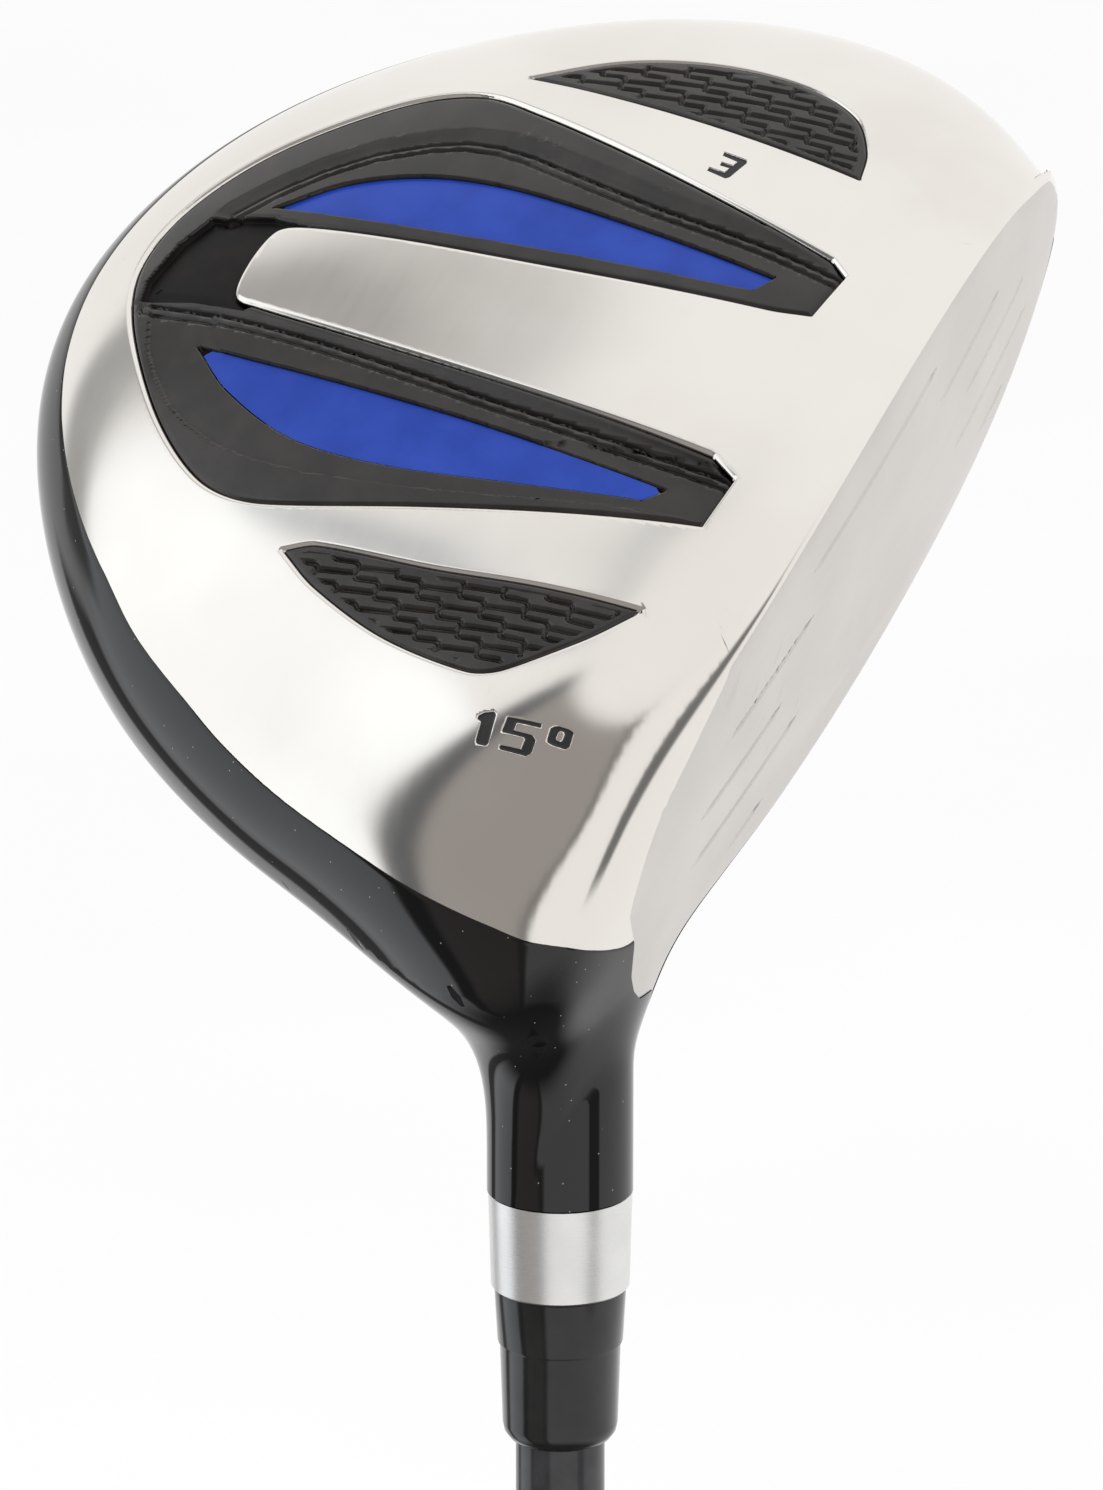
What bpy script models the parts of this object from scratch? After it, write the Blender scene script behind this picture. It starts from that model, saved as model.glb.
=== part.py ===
"""A right-handed fairway wood of 15 degrees: hollow steel head, bonded graphite shaft and slip-on grip.

Sizes are in millimetres and degrees, and each mesh is scaled to metres when it is made.

Two frames are used. The club frame is the scene's own: its origin is the middle of the grip's
butt end and +Z runs down the shaft to the head. The head frame is how a club is measured: its
origin is where the shaft's axis meets the ground, x runs from heel to toe, y from the back of the
head to the target, and z is up from the ground. HEAD_TO_CLUB turns the second into the first.
"""

import math

import bmesh
import bpy
import numpy as np
from mathutils import Matrix

MM = 0.001

# Club, as a golfer would order it.
CLUB_LENGTH = 1092.0  # from the butt to the ground, along the shaft
LIE_ANGLE = 57.5
LOFT_ANGLE = 15.0

# Distances up the shaft's axis from the ground.
HOSEL_TOP = 58.8
HOSEL_TUBE_FOOT = 24.0
TUBE_FLOOR = 2.0

# Outline of the head seen from above: radius about its middle, every 30 degrees from the toe.
HEAD_MIDDLE = (36.0, -24.0)
HEAD_RADII = (50.0, 53.5, 55.0, 61.5, 66.5, 71.5, 60.0, 52.5, 51.0, 53.0, 51.0, 48.5)
RIM_HEIGHT = 18.8  # where the side stands upright
RIM_TILT_TOE = -1.9
RIM_TILT_FACE = 4.8
CROWN_HEIGHT = 35.8
SOLE_FLATNESS = 3.2
SOLE_CURL = 2.35
CROWN_FLATNESS = 2.15
CROWN_FRONT_FULLNESS = 3.7
CROWN_CURL = 2.0

# Face: a plane at the loft angle, with bulge from heel to toe and roll from sole to crown.
FACE_FORWARD = 20.8
FACE_MIDDLE_X = 36.0
FACE_MIDDLE_Z = 18.0
FACE_BULGE_RADIUS = 400.0
FACE_ROLL_RADIUS = 280.0
FACE_THICKNESS = 2.4
FACE_HEEL_END = -18.0
FACE_LIP = 0.8  # the plate stands this far proud of the body round its edge

# Walls of the hollow body.
SOLE_WALL = 2.6
CROWN_WALL = 0.8
SIDE_WALL = 1.0

# Neck.
NECK_RADIUS = 6.82
NECK_BLEND = 16.0
NECK_INNER_END = 22.0  # the neck's solid core stops this far up the axis
NECK_SKIN = 0.8  # metal left round the neck where the face runs into it

# Edge of the black paint, as (degrees about the head's middle from the toe, height).
PAINT_EDGE = (
    (30.0, 24.0),
    (37.0, 25.0),
    (90.0, 27.0),
    (143.0, 25.0),
    (150.0, 24.0),
    (157.0, 15.5),
    (170.0, 12.0),
    (190.0, 10.0),
    (206.0, 8.2),
    (230.0, 7.1),
    (270.0, 6.4),
    (310.0, 7.1),
    (334.0, 8.2),
    (350.0, 10.0),
    (370.0, 12.0),
    (383.0, 15.5),
)

# Pockets in the sole and what is stuck in them. True marks a sharp corner of an outline.
POCKET_DEPTH = 1.8
INSERT_RECESS = 0.2
TAPE_THICKNESS = 0.3
INLAY_DEPTH = 0.6
INLAY_THICKNESS = 0.4
BADGE_OUTLINE = (
    (47.0, 6.5, True),
    (55.2, -17.0, False),
    (60.2, -32.0, False),
    (62.2, -40.0, False),
    (60.0, -48.0, False),
    (52.0, -59.0, False),
    (43.5, -65.0, False),
    (35.5, -66.3, False),
    (27.5, -63.0, False),
    (16.0, -54.0, False),
    (8.5, -45.0, False),
    (6.4, -37.0, False),
    (8.2, -20.0, False),
    (12.2, 8.6, True),
    (18.2, 9.3, True),
    (20.2, 6.2, True),
    (24.5, -18.5, False),
    (28.0, -38.5, False),
    (30.0, -49.0, False),
    (31.2, -52.2, False),
    (35.5, -53.0, False),
    (40.0, -52.2, False),
    (41.0, -49.5, False),
    (40.8, -38.0, False),
    (39.8, -18.0, False),
    (39.0, 3.5, False),
    (39.4, 7.8, True),
    (45.3, 8.6, True),
)
TOE_INLAY_OUTLINE = (
    (43.2, 2.2, True),
    (46.2, -12.0, False),
    (49.4, -29.0, False),
    (49.8, -39.0, False),
    (47.8, -47.6, False),
    (43.6, -54.2, True),
    (42.9, -42.0, False),
    (42.2, -25.0, False),
    (41.2, -3.0, False),
    (41.2, 0.8, True),
)
HEEL_INLAY_OUTLINE = (
    (15.4, 3.4, True),
    (17.0, -6.0, False),
    (19.8, -22.0, False),
    (23.4, -46.0, False),
    (24.8, -53.6, True),
    (19.6, -47.4, False),
    (14.6, -37.5, False),
    (12.8, -26.0, False),
    (13.0, -12.0, False),
    (13.8, 1.6, True),
)
HEEL_PAD_OUTLINE = (
    (1.4, -31.8, True),
    (2.3, -28.4, False),
    (1.4, -15.0, False),
    (1.4, -4.0, False),
    (1.3, 7.2, True),
    (-3.6, 3.2, False),
    (-8.4, -2.6, False),
    (-9.2, -6.5, False),
    (-6.6, -17.0, False),
    (-2.2, -26.6, False),
)
TOE_PAD_OUTLINE = (
    (65.6, -36.2, True),
    (69.8, -27.0, False),
    (71.2, -17.0, False),
    (70.2, -7.0, False),
    (67.4, -0.8, False),
    (62.8, 2.6, False),
    (58.6, 3.9, True),
    (60.2, -5.0, False),
    (62.6, -18.0, False),
    (64.6, -29.5, False),
)

# Blob of hot melt inside the head, put there to catch loose grains.
MELT_PLACE = (40.0, -34.0)
MELT_RADIUS = 13.0
MELT_THICKNESS = 2.0

# Shaft, with its tip weight.
SHAFT_TIP_DIAMETER = 8.5
SHAFT_BUTT_DIAMETER = 15.2
SHAFT_TIP_PARALLEL = 90.0
SHAFT_BUTT_PARALLEL = 150.0
SHAFT_TIP_WALL = 1.5
SHAFT_BUTT_WALL = 1.2
TIP_WEIGHT_LENGTH = 14.0

# Hosel tube, trim ring and ferrule.
HOSEL_TUBE_WALL = 0.8
RING_HEIGHT = 9.3
RING_TOP_DIAMETER = 13.7  # the end against the neck
RING_FOOT_DIAMETER = 13.2
FERRULE_HEIGHT = 15.2
FERRULE_TOP_DIAMETER = 12.6
FERRULE_STEP_AT = 5.4
FERRULE_STEP = 0.15
FERRULE_FOOT_DIAMETER = 10.9
FERRULE_ROUND = 1.0
EDGE_ROUND = 0.3

# Grip.
GRIP_LENGTH = 267.0
GRIP_CAP_HEIGHT = 6.0
GRIP_CAP_DIAMETER = 27.0
GRIP_CAP_ROUND = 2.0
GRIP_BUTT_DIAMETER = 26.4
GRIP_MOUTH_DIAMETER = 18.8
GRIP_HOLD_DIAMETER = 23.0
GRIP_HOLD_AT = 60.0
GRIP_TAPE_THICKNESS = 0.4
VENT_DIAMETER = 2.4

# Clearances: glue gap between neighbours, and how far a cutter overshoots.
GAP = 0.3
OVERSHOOT = 5.0

# Fineness of the faceted solids.
LOFT_SIDES = 36
NECK_RINGS = 3
BLEND_RINGS = 6
HEAD_RINGS = 21
CAVITY_SIDES = 26
CAVITY_RINGS = 16
TURNED_SIDES = 28

lie = math.radians(LIE_ANGLE)
HEAD_TO_CLUB = Matrix(
    (
        (0.0, 1.0, 0.0, 0.0),
        (math.sin(lie), 0.0, math.cos(lie), 0.0),
        (math.cos(lie), 0.0, -math.sin(lie), CLUB_LENGTH * MM),
        (0.0, 0.0, 0.0, 1.0),
    )
)
UP_SHAFT = np.array((-math.cos(lie), 0.0, math.sin(lie)))  # in the head frame

for old in list(bpy.data.objects):
    bpy.data.objects.remove(old, do_unlink=True)
bpy.context.scene.unit_settings.system = "METRIC"
parts = bpy.data.collections.new("fairway_wood")
cutters = bpy.data.collections.new("cutters")
for collection in (parts, cutters):
    bpy.context.scene.collection.children.link(collection)
cutters.hide_render = True


def material(name, colour, roughness, metallic):
    made = bpy.data.materials.new(name)
    made.use_nodes = True
    surface = made.node_tree.nodes["Principled BSDF"]
    surface.inputs["Base Color"].default_value = (*colour, 1.0)
    surface.inputs["Roughness"].default_value = roughness
    surface.inputs["Metallic"].default_value = metallic
    return made


def add_part(name, mesh, colour, roughness, metallic, placed=Matrix.Identity(4)):
    made = bpy.data.objects.new(name, mesh)
    made.matrix_world = placed
    made.data.materials.clear()
    made.data.materials.append(material(name, colour, roughness, metallic))
    parts.objects.link(made)
    return made


def add_cutter(name, mesh, placed=HEAD_TO_CLUB):
    made = bpy.data.objects.new(name, mesh)
    made.matrix_world = placed
    made.hide_render = True
    made.display_type = "WIRE"
    cutters.objects.link(made)
    return made


def boolean(target, operation, other):
    modifier = target.modifiers.new(operation.lower() + " " + other.name, "BOOLEAN")
    modifier.operation = operation
    modifier.object = other
    modifier.solver = "EXACT"


def mesh_of_rings(name, rings):
    """A closed mesh through rings of points; a ring of no size becomes one point, another a flat end."""
    made = bmesh.new()
    loops = []
    for ring in rings:
        if np.ptp(ring, axis=0).max() < 1e-3:
            loops.append([made.verts.new(ring.mean(axis=0) * MM)])
        else:
            loops.append([made.verts.new(point * MM) for point in ring])
    for lower, upper in zip(loops, loops[1:]):
        count = max(len(lower), len(upper))
        for at in range(count):
            nearby = (at + 1) % count
            if len(lower) == 1:
                made.faces.new((lower[0], upper[nearby], upper[at]))
            elif len(upper) == 1:
                made.faces.new((lower[at], lower[nearby], upper[0]))
            else:
                made.faces.new((lower[at], lower[nearby], upper[nearby], upper[at]))
    for loop in (loops[0], loops[-1]):
        if len(loop) > 1:
            made.faces.new(loop)
    bmesh.ops.recalc_face_normals(made, faces=made.faces)
    quads = [face for face in made.faces if len(face.verts) == 4]
    bmesh.ops.triangulate(made, faces=quads, quad_method="FIXED")
    for face in made.faces:
        face.smooth = len(face.verts) == 3
    mesh = bpy.data.meshes.new(name)
    made.to_mesh(mesh)
    made.free()
    return mesh


def periodic_spline(angles, values, at):
    """A smooth closed curve of value against angle, through every key and with no overshoot."""
    angles = np.radians(np.array(angles))
    values = np.array(values)
    start = angles[0]
    keys = np.append(angles, start + 2 * math.pi)
    heights = np.append(values, values[0])
    widths = np.diff(keys)
    rises = np.diff(heights) / widths
    before = np.roll(rises, 1)
    slopes = np.where(before * rises > 0, 2 * before * rises / (before + rises + 1e-12), 0.0)
    slopes = np.append(slopes, slopes[0])
    turned = np.mod(at - start, 2 * math.pi) + start
    index = np.clip(np.searchsorted(keys, turned, side="right") - 1, 0, len(widths) - 1)
    width = widths[index]
    u = (turned - keys[index]) / width
    return (
        heights[index] * (2 * u**3 - 3 * u**2 + 1)
        + slopes[index] * width * (u**3 - 2 * u**2 + u)
        + heights[index + 1] * (3 * u**2 - 2 * u**3)
        + slopes[index + 1] * width * (u**3 - u**2)
    )


def smooth_outline_radius(at):
    """The head's outline: a curve with even curvature through HEAD_RADII."""
    count = len(HEAD_RADII)
    step = 2 * math.pi / count
    wrap = np.roll(np.eye(count), 1, axis=1)
    system = 4 * np.eye(count) + wrap + wrap.T
    radii = np.array(HEAD_RADII)
    bends = np.roll(radii, 1) - 2 * radii + np.roll(radii, -1)
    second = np.linalg.solve(system, 6 * bends / step**2)
    turned = np.mod(at, 2 * math.pi) / step
    index = np.minimum(turned.astype(int), count - 1)
    after = (index + 1) % count
    u = turned - index
    v = 1 - u
    return (
        radii[index] * v
        + radii[after] * u
        + ((v**3 - v) * second[index] + (u**3 - u) * second[after]) * step**2 / 6
    )


def face_y(x, z):
    plane = FACE_FORWARD - math.tan(math.radians(LOFT_ANGLE)) * z
    bulge = (x - FACE_MIDDLE_X) ** 2 / (2 * FACE_BULGE_RADIUS)
    roll = (z - FACE_MIDDLE_Z) ** 2 / (2 * FACE_ROLL_RADIUS)
    return plane - bulge - roll


def body_value(points, side_wall, sole_wall, crown_wall):
    """Below zero inside the head's rounded body, less the given walls, with no face or neck."""
    x, y, z = np.moveaxis(points, -1, 0)
    across = x - HEAD_MIDDLE[0]
    along = y - HEAD_MIDDLE[1]
    radius = np.hypot(across, along) + 1e-9
    outline = smooth_outline_radius(np.arctan2(along, across)) - side_wall
    rim = RIM_HEIGHT + (RIM_TILT_TOE * across + RIM_TILT_FACE * along) / radius
    above = z >= rim
    frontness = np.clip(along / radius, 0, 1) ** 2
    crown_power = CROWN_FLATNESS + CROWN_FRONT_FULLNESS * frontness
    plan_power = np.where(above, crown_power, SOLE_FLATNESS)
    rise_power = np.where(above, CROWN_CURL, SOLE_CURL)
    height = np.where(above, CROWN_HEIGHT - crown_wall - rim, rim - sole_wall)
    total = (radius / outline) ** plan_power + (np.abs(z - rim) / height) ** rise_power
    return (total ** (2 / (plan_power + rise_power)) - 1) * HEAD_DEPTH_SCALE


HEAD_DEPTH_SCALE = 26.0  # turns the body's value into about millimetres near its skin


def head_value(points, lip=0.0):
    """Below zero inside the head with its neck blended on, before the face is cut."""
    body = body_value(points, -lip, 0.0, 0.0)
    up = np.maximum(points @ UP_SHAFT, NECK_INNER_END)
    neck = np.linalg.norm(points - up[..., None] * UP_SHAFT, axis=-1) - NECK_RADIUS
    share = np.clip(0.5 + 0.5 * (neck - body) / NECK_BLEND, 0, 1)
    return neck * (1 - share) + body * share - NECK_BLEND * share * (1 - share)


def cavity_value(points):
    """Below zero in the hollow of the head; its front lies inside the face plate's thickness."""
    hollow = body_value(points, SIDE_WALL, SOLE_WALL, CROWN_WALL)
    front = points[..., 1] - face_y(points[..., 0], points[..., 2]) + FACE_THICKNESS * 0.65
    return np.maximum(hollow, front)


def cast(value, starts, directions):
    """The points where rays from inside the form first leave it."""
    far = np.full(directions.shape[:2], 2.0)
    near = np.zeros_like(far)
    left = np.zeros(far.shape, bool)
    while not left.all():
        left |= value(starts + far[..., None] * directions) > 0
        near = np.where(left, near, far)
        far = np.where(left, far, far + 2.0)
    for _ in range(24):
        middle = (near + far) / 2
        inside = value(starts + middle[..., None] * directions) <= 0
        near = np.where(inside, middle, near)
        far = np.where(inside, far, middle)
    return starts + near[..., None] * directions


def cones(axes, half_angles, sides):
    """Rings of directions, each at a half angle about its own axis."""
    turn = np.linspace(0, 2 * math.pi, sides, endpoint=False)
    target = np.array((0.0, 1.0, 0.0))
    first = target - (axes @ target)[:, None] * axes
    first /= np.linalg.norm(first, axis=1)[:, None]
    second = np.cross(axes, first)
    around = np.cos(turn)[None, :, None] * first[:, None] + np.sin(turn)[None, :, None] * second[:, None]
    along = np.cos(half_angles)[:, None, None] * axes[:, None]
    return along + np.sin(half_angles)[:, None, None] * around


LOFT_MIDDLE = np.array((36.0, -17.5, 20.0))
LOFT_AIM = 33.0  # the rings round the body face this far up the shaft's axis
FIRST_HALF_ANGLE = 38.5
NECK_LOFT_END = 41.0
NECK_PULL = 1.1
BODY_PULL = 1.4


def head_rings(lip=0.0):
    """Rings from the hosel's end, down the neck and round the body to a point at the toe's back."""

    def value(points):
        return head_value(points, lip)

    up = np.linspace(HOSEL_TOP, NECK_LOFT_END, NECK_RINGS)
    neck_axes = np.repeat(UP_SHAFT[None], NECK_RINGS, 0)
    neck_cones = cones(neck_axes, np.full(NECK_RINGS, math.pi / 2), LOFT_SIDES)
    neck = cast(value, (up[:, None] * UP_SHAFT)[:, None], neck_cones)
    axis = LOFT_AIM * UP_SHAFT - LOFT_MIDDLE
    axis /= np.linalg.norm(axis)
    half_angles = np.radians(np.linspace(FIRST_HALF_ANGLE, 180.0, HEAD_RINGS))
    body = cast(value, LOFT_MIDDLE, cones(np.repeat(axis[None], HEAD_RINGS, 0), half_angles, LOFT_SIDES))
    # The rings between them follow a curve from one to the other, then settle on the form.
    start = neck[-1]
    end = body[0]
    reach = np.linalg.norm(end - start, axis=-1, keepdims=True)
    onward = (body[1] - body[0]) / np.linalg.norm(body[1] - body[0], axis=-1, keepdims=True)
    u = (np.arange(1, BLEND_RINGS) / BLEND_RINGS)[:, None, None]
    blend = (
        start * (2 * u**3 - 3 * u**2 + 1)
        - UP_SHAFT * reach * NECK_PULL * (u**3 - 2 * u**2 + u)
        + end * (3 * u**2 - 2 * u**3)
        + onward * reach * BODY_PULL * (u**3 - u**2)
    )
    for _ in range(12):
        here = value(blend)
        slope = np.stack([value(blend + step) - value(blend - step) for step in np.eye(3) * 0.02], -1)
        slope /= 0.04
        blend = blend - (here / np.maximum((slope**2).sum(-1), 0.05))[..., None] * slope * 0.9
    return [*neck, *blend, *body]


def turned(name, profile, sides=TURNED_SIDES):
    """A ring turned about Z from a closed outline of (radius, height) that runs down its outer side."""
    made = bmesh.new()
    points = [made.verts.new((radius * MM, 0.0, height * MM)) for radius, height in profile]
    for at in range(len(points)):
        made.edges.new((points[at], points[(at + 1) % len(points)]))
    mesh = bpy.data.meshes.new(name)
    made.to_mesh(mesh)
    made.free()
    return mesh, sides


def spin(target, sides):
    screw = target.modifiers.new("turn", "SCREW")
    screw.axis = "Z"
    screw.angle = 2 * math.pi
    screw.steps = sides
    screw.render_steps = sides
    screw.use_merge_vertices = True
    screw.merge_threshold = 0.00001
    screw.use_smooth_shade = True
    return target


def turned_part(name, profile, colour, roughness, metallic):
    mesh, sides = turned(name, profile)
    return spin(add_part(name, mesh, colour, roughness, metallic), sides)


def outline_points(keys, inset=0.0):
    """Points along a closed outline of (x, y, corner), smooth but at its corners, moved in by inset."""
    places = np.array([key[:2] for key in keys])
    corners = [key[2] for key in keys]
    count = len(keys)
    points = []
    for at in range(count):
        here, there = places[at], places[(at + 1) % count]
        pull_here = there - here if corners[at] else (there - places[at - 1]) / 2
        after = places[(at + 2) % count]
        pull_there = there - here if corners[(at + 1) % count] else (after - here) / 2
        chord = np.linalg.norm(there - here)
        for pull in (pull_here, pull_there):
            pull *= min(1.0, chord / np.linalg.norm(pull))
        pieces = max(1, min(4, round(chord / 7.0)))
        for piece in range(pieces):
            u = piece / pieces
            points.append(
                here * (2 * u**3 - 3 * u**2 + 1)
                + pull_here * (u**3 - 2 * u**2 + u)
                + there * (3 * u**2 - 2 * u**3)
                + pull_there * (u**3 - u**2)
            )
    points = np.array(points)
    ahead = np.roll(points, -1, axis=0) - points
    ahead /= np.linalg.norm(ahead, axis=1)[:, None]
    sideways = np.stack((-ahead[:, 1], ahead[:, 0]), axis=1)
    behind = np.roll(sideways, 1, axis=0)
    turn = np.maximum(1 + (sideways * behind).sum(axis=1), 0.3)
    area = np.cross(points, np.roll(points, -1, axis=0)).sum()
    return points + np.sign(area) * inset * (sideways + behind) / turn[:, None]


def prism_mesh(name, outline, low, high):
    """A flat outline given thickness, as a curve that is then turned into a mesh."""
    curve = bpy.data.curves.new(name, "CURVE")
    curve.dimensions = "2D"
    curve.fill_mode = "BOTH"
    curve.extrude = (high - low) / 2 * MM
    spline = curve.splines.new("POLY")
    spline.points.add(len(outline) - 1)
    for point, (x, y) in zip(spline.points, outline):
        point.co = (x * MM, y * MM, 0.0, 1.0)
    spline.use_cyclic_u = True
    shape = bpy.data.objects.new(name, curve)
    parts.objects.link(shape)
    graph = bpy.context.evaluated_depsgraph_get()
    mesh = bpy.data.meshes.new_from_object(shape.evaluated_get(graph))
    bpy.data.objects.remove(shape)
    made = bmesh.new()
    made.from_mesh(mesh)
    bmesh.ops.remove_doubles(made, verts=made.verts, dist=0.000001)
    bmesh.ops.recalc_face_normals(made, faces=made.faces)
    bmesh.ops.translate(made, verts=made.verts, vec=(0.0, 0.0, (high + low) / 2 * MM))
    made.to_mesh(mesh)
    made.free()
    return mesh


def raised(height):
    """The head frame lifted by a height."""
    return HEAD_TO_CLUB @ Matrix.Translation((0.0, 0.0, height * MM))


def face_block_mesh(name, behind, ahead, heel, toe):
    """A block that follows the face, from some way behind it to some way ahead."""
    heights = np.linspace(-OVERSHOOT, HOSEL_TOP, 10)
    rings = []
    for x in np.linspace(heel, toe, 15):
        back = [(x, face_y(x, z) - behind, z) for z in heights]
        front = [(x, face_y(x, z) + ahead, z) for z in heights[::-1]]
        rings.append(np.array(back + front))
    return mesh_of_rings(name, rings)


# ---- Cutters that give the head its form.

outer_mesh = mesh_of_rings("head_form", head_rings())
head_axis = LOFT_AIM * UP_SHAFT - LOFT_MIDDLE
head_axis /= np.linalg.norm(head_axis)
cavity_axes = np.repeat(head_axis[None], CAVITY_RINGS, 0)
cavity_angles = np.radians(np.linspace(0.0, 180.0, CAVITY_RINGS))
cavity_points = cast(cavity_value, LOFT_MIDDLE, cones(cavity_axes, cavity_angles, CAVITY_SIDES))
cavity_mesh = mesh_of_rings("cavity", list(cavity_points))
cavity = add_cutter("cavity", cavity_mesh)

HEEL_LIMIT = -50.0
TOE_LIMIT = 100.0
face_cut = add_cutter("face_cut", face_block_mesh("face_cut", 0.0, 40.0, HEEL_LIMIT, TOE_LIMIT))
guard = bpy.data.meshes.new("neck_guard")
guard_shape = bmesh.new()
bmesh.ops.create_cone(
    guard_shape,
    cap_ends=True,
    segments=LOFT_SIDES,
    radius1=(NECK_RADIUS + NECK_SKIN) * MM,
    radius2=(NECK_RADIUS + NECK_SKIN) * MM,
    depth=120.0 * MM,
)
guard_shape.to_mesh(guard)
guard_shape.free()
neck_guard = add_cutter("neck_guard", guard, Matrix.Translation((0.0, 0.0, CLUB_LENGTH * MM)))
boolean(face_cut, "DIFFERENCE", neck_guard)
plate_slab = add_cutter(
    "plate_slab",
    face_block_mesh("plate_slab", FACE_THICKNESS, 50.0, FACE_HEEL_END, TOE_LIMIT + OVERSHOOT),
)
plate_room = add_cutter(
    "plate_room",
    face_block_mesh("plate_room", FACE_THICKNESS + GAP, 50.0, FACE_HEEL_END - GAP, TOE_LIMIT + OVERSHOOT),
)


def paint_block_mesh(name, lift):
    """All that lies below the edge of the paint: a round block with a wavy top."""
    turn = np.linspace(0, 2 * math.pi, 48, endpoint=False)
    angles, heights = zip(*PAINT_EDGE)
    tops = periodic_spline(angles, heights, turn) + lift
    reach = 110.0
    floor = np.full_like(tops, -15.0)
    level = np.full_like(tops, float(np.mean(tops)))
    rings = []
    for share, height in ((0.0, floor), (1.0, floor), (1.0, tops), (0.35, tops), (0.0, level)):
        x = HEAD_MIDDLE[0] + share * reach * np.cos(turn)
        y = HEAD_MIDDLE[1] + share * reach * np.sin(turn)
        rings.append(np.stack((x, y, height), axis=1))
    return mesh_of_rings(name, rings)


below_paint = add_cutter("below_paint", paint_block_mesh("below_paint", 0.0))
below_crown = add_cutter("below_crown", paint_block_mesh("below_crown", GAP))

shaft_foot = HOSEL_TUBE_FOOT + TUBE_FLOOR + GAP
tube_bore_radius = SHAFT_TIP_DIAMETER / 2 + GAP
tube_radius = tube_bore_radius + HOSEL_TUBE_WALL
neck_bore_radius = tube_radius + GAP
bore_shape = bmesh.new()
bmesh.ops.create_cone(
    bore_shape,
    cap_ends=True,
    segments=TURNED_SIDES,
    radius1=neck_bore_radius * MM,
    radius2=neck_bore_radius * MM,
    depth=(HOSEL_TOP - HOSEL_TUBE_FOOT + 2 * OVERSHOOT) * MM,
)
bore_mesh = bpy.data.meshes.new("neck_bore")
bore_shape.to_mesh(bore_mesh)
bore_shape.free()
bore_middle = CLUB_LENGTH - (HOSEL_TOP + HOSEL_TUBE_FOOT) / 2
neck_bore = add_cutter("neck_bore", bore_mesh, Matrix.Translation((0.0, 0.0, bore_middle * MM)))

# ---- Crown, skirt and neck: one black painted steel casting.

crown = add_part("crown_shell", outer_mesh, (0.02, 0.02, 0.022), 0.15, 0.0, HEAD_TO_CLUB)
boolean(crown, "DIFFERENCE", cavity)
boolean(crown, "DIFFERENCE", below_crown)
boolean(crown, "DIFFERENCE", neck_bore)
boolean(crown, "DIFFERENCE", plate_room)
boolean(crown, "DIFFERENCE", face_cut)

# ---- Sole: polished steel, with a pocket for each insert.

sole = add_part("sole_shell", outer_mesh.copy(), (0.75, 0.72, 0.68), 0.12, 1.0, HEAD_TO_CLUB)
boolean(sole, "DIFFERENCE", face_cut)
boolean(sole, "INTERSECT", below_paint)
boolean(sole, "DIFFERENCE", cavity)
boolean(sole, "DIFFERENCE", plate_room)

# ---- Face plate: satin steel, welded across the open front of the body.

face = add_part(
    "face_plate",
    mesh_of_rings("face_plate", head_rings(FACE_LIP)),
    (0.62, 0.60, 0.57),
    0.35,
    1.0,
    HEAD_TO_CLUB,
)
boolean(face, "DIFFERENCE", face_cut)
boolean(face, "INTERSECT", plate_slab)


def skin(name, height):
    """The head's form lifted by a height: what bounds a layer that follows the sole."""
    return add_cutter(name, outer_mesh.copy(), raised(height))


pocket_floor = skin("pocket_floor", POCKET_DEPTH)
insert_top = skin("insert_top", INSERT_RECESS)
tape_foot = skin("tape_foot", POCKET_DEPTH - GAP / 2)
tape_top = skin("tape_top", POCKET_DEPTH - GAP / 2 - TAPE_THICKNESS)
insert_foot = skin("insert_foot", POCKET_DEPTH - GAP - TAPE_THICKNESS)
inlay_floor = skin("inlay_floor", INSERT_RECESS + INLAY_DEPTH)
inlay_foot = skin("inlay_foot", INSERT_RECESS + INLAY_DEPTH - GAP / 2)
inlay_top = skin("inlay_top", INSERT_RECESS + INLAY_DEPTH - GAP / 2 - INLAY_THICKNESS)
PRISM_LOW = -2.0
PRISM_HIGH = 12.0


def layer(name, outline, inset, top, foot, colour, roughness):
    """A plastic piece with an outline, between two skins of the sole."""
    mesh = prism_mesh(name, outline_points(outline, inset), PRISM_LOW, PRISM_HIGH)
    made = add_part(name, mesh, colour, roughness, 0.0, HEAD_TO_CLUB)
    boolean(made, "INTERSECT", top)
    boolean(made, "DIFFERENCE", foot)
    return made


def pocket(name, target, outline, floor):
    """A pocket cut into a piece through its outer side, with a floor that follows the sole."""
    mesh = prism_mesh(name, outline_points(outline), PRISM_LOW - 1.0, PRISM_HIGH + 1.0)
    made = add_cutter(name, mesh)
    boolean(made, "DIFFERENCE", floor)
    boolean(target, "DIFFERENCE", made)


BLACK_PLASTIC = (0.018, 0.017, 0.017)
BLUE_PLASTIC = (0.035, 0.065, 0.35)
ADHESIVE = (0.75, 0.75, 0.72)

# ---- Badge: a black moulding with two arms, stuck in its pocket, with a blue inlay in each arm.

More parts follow.
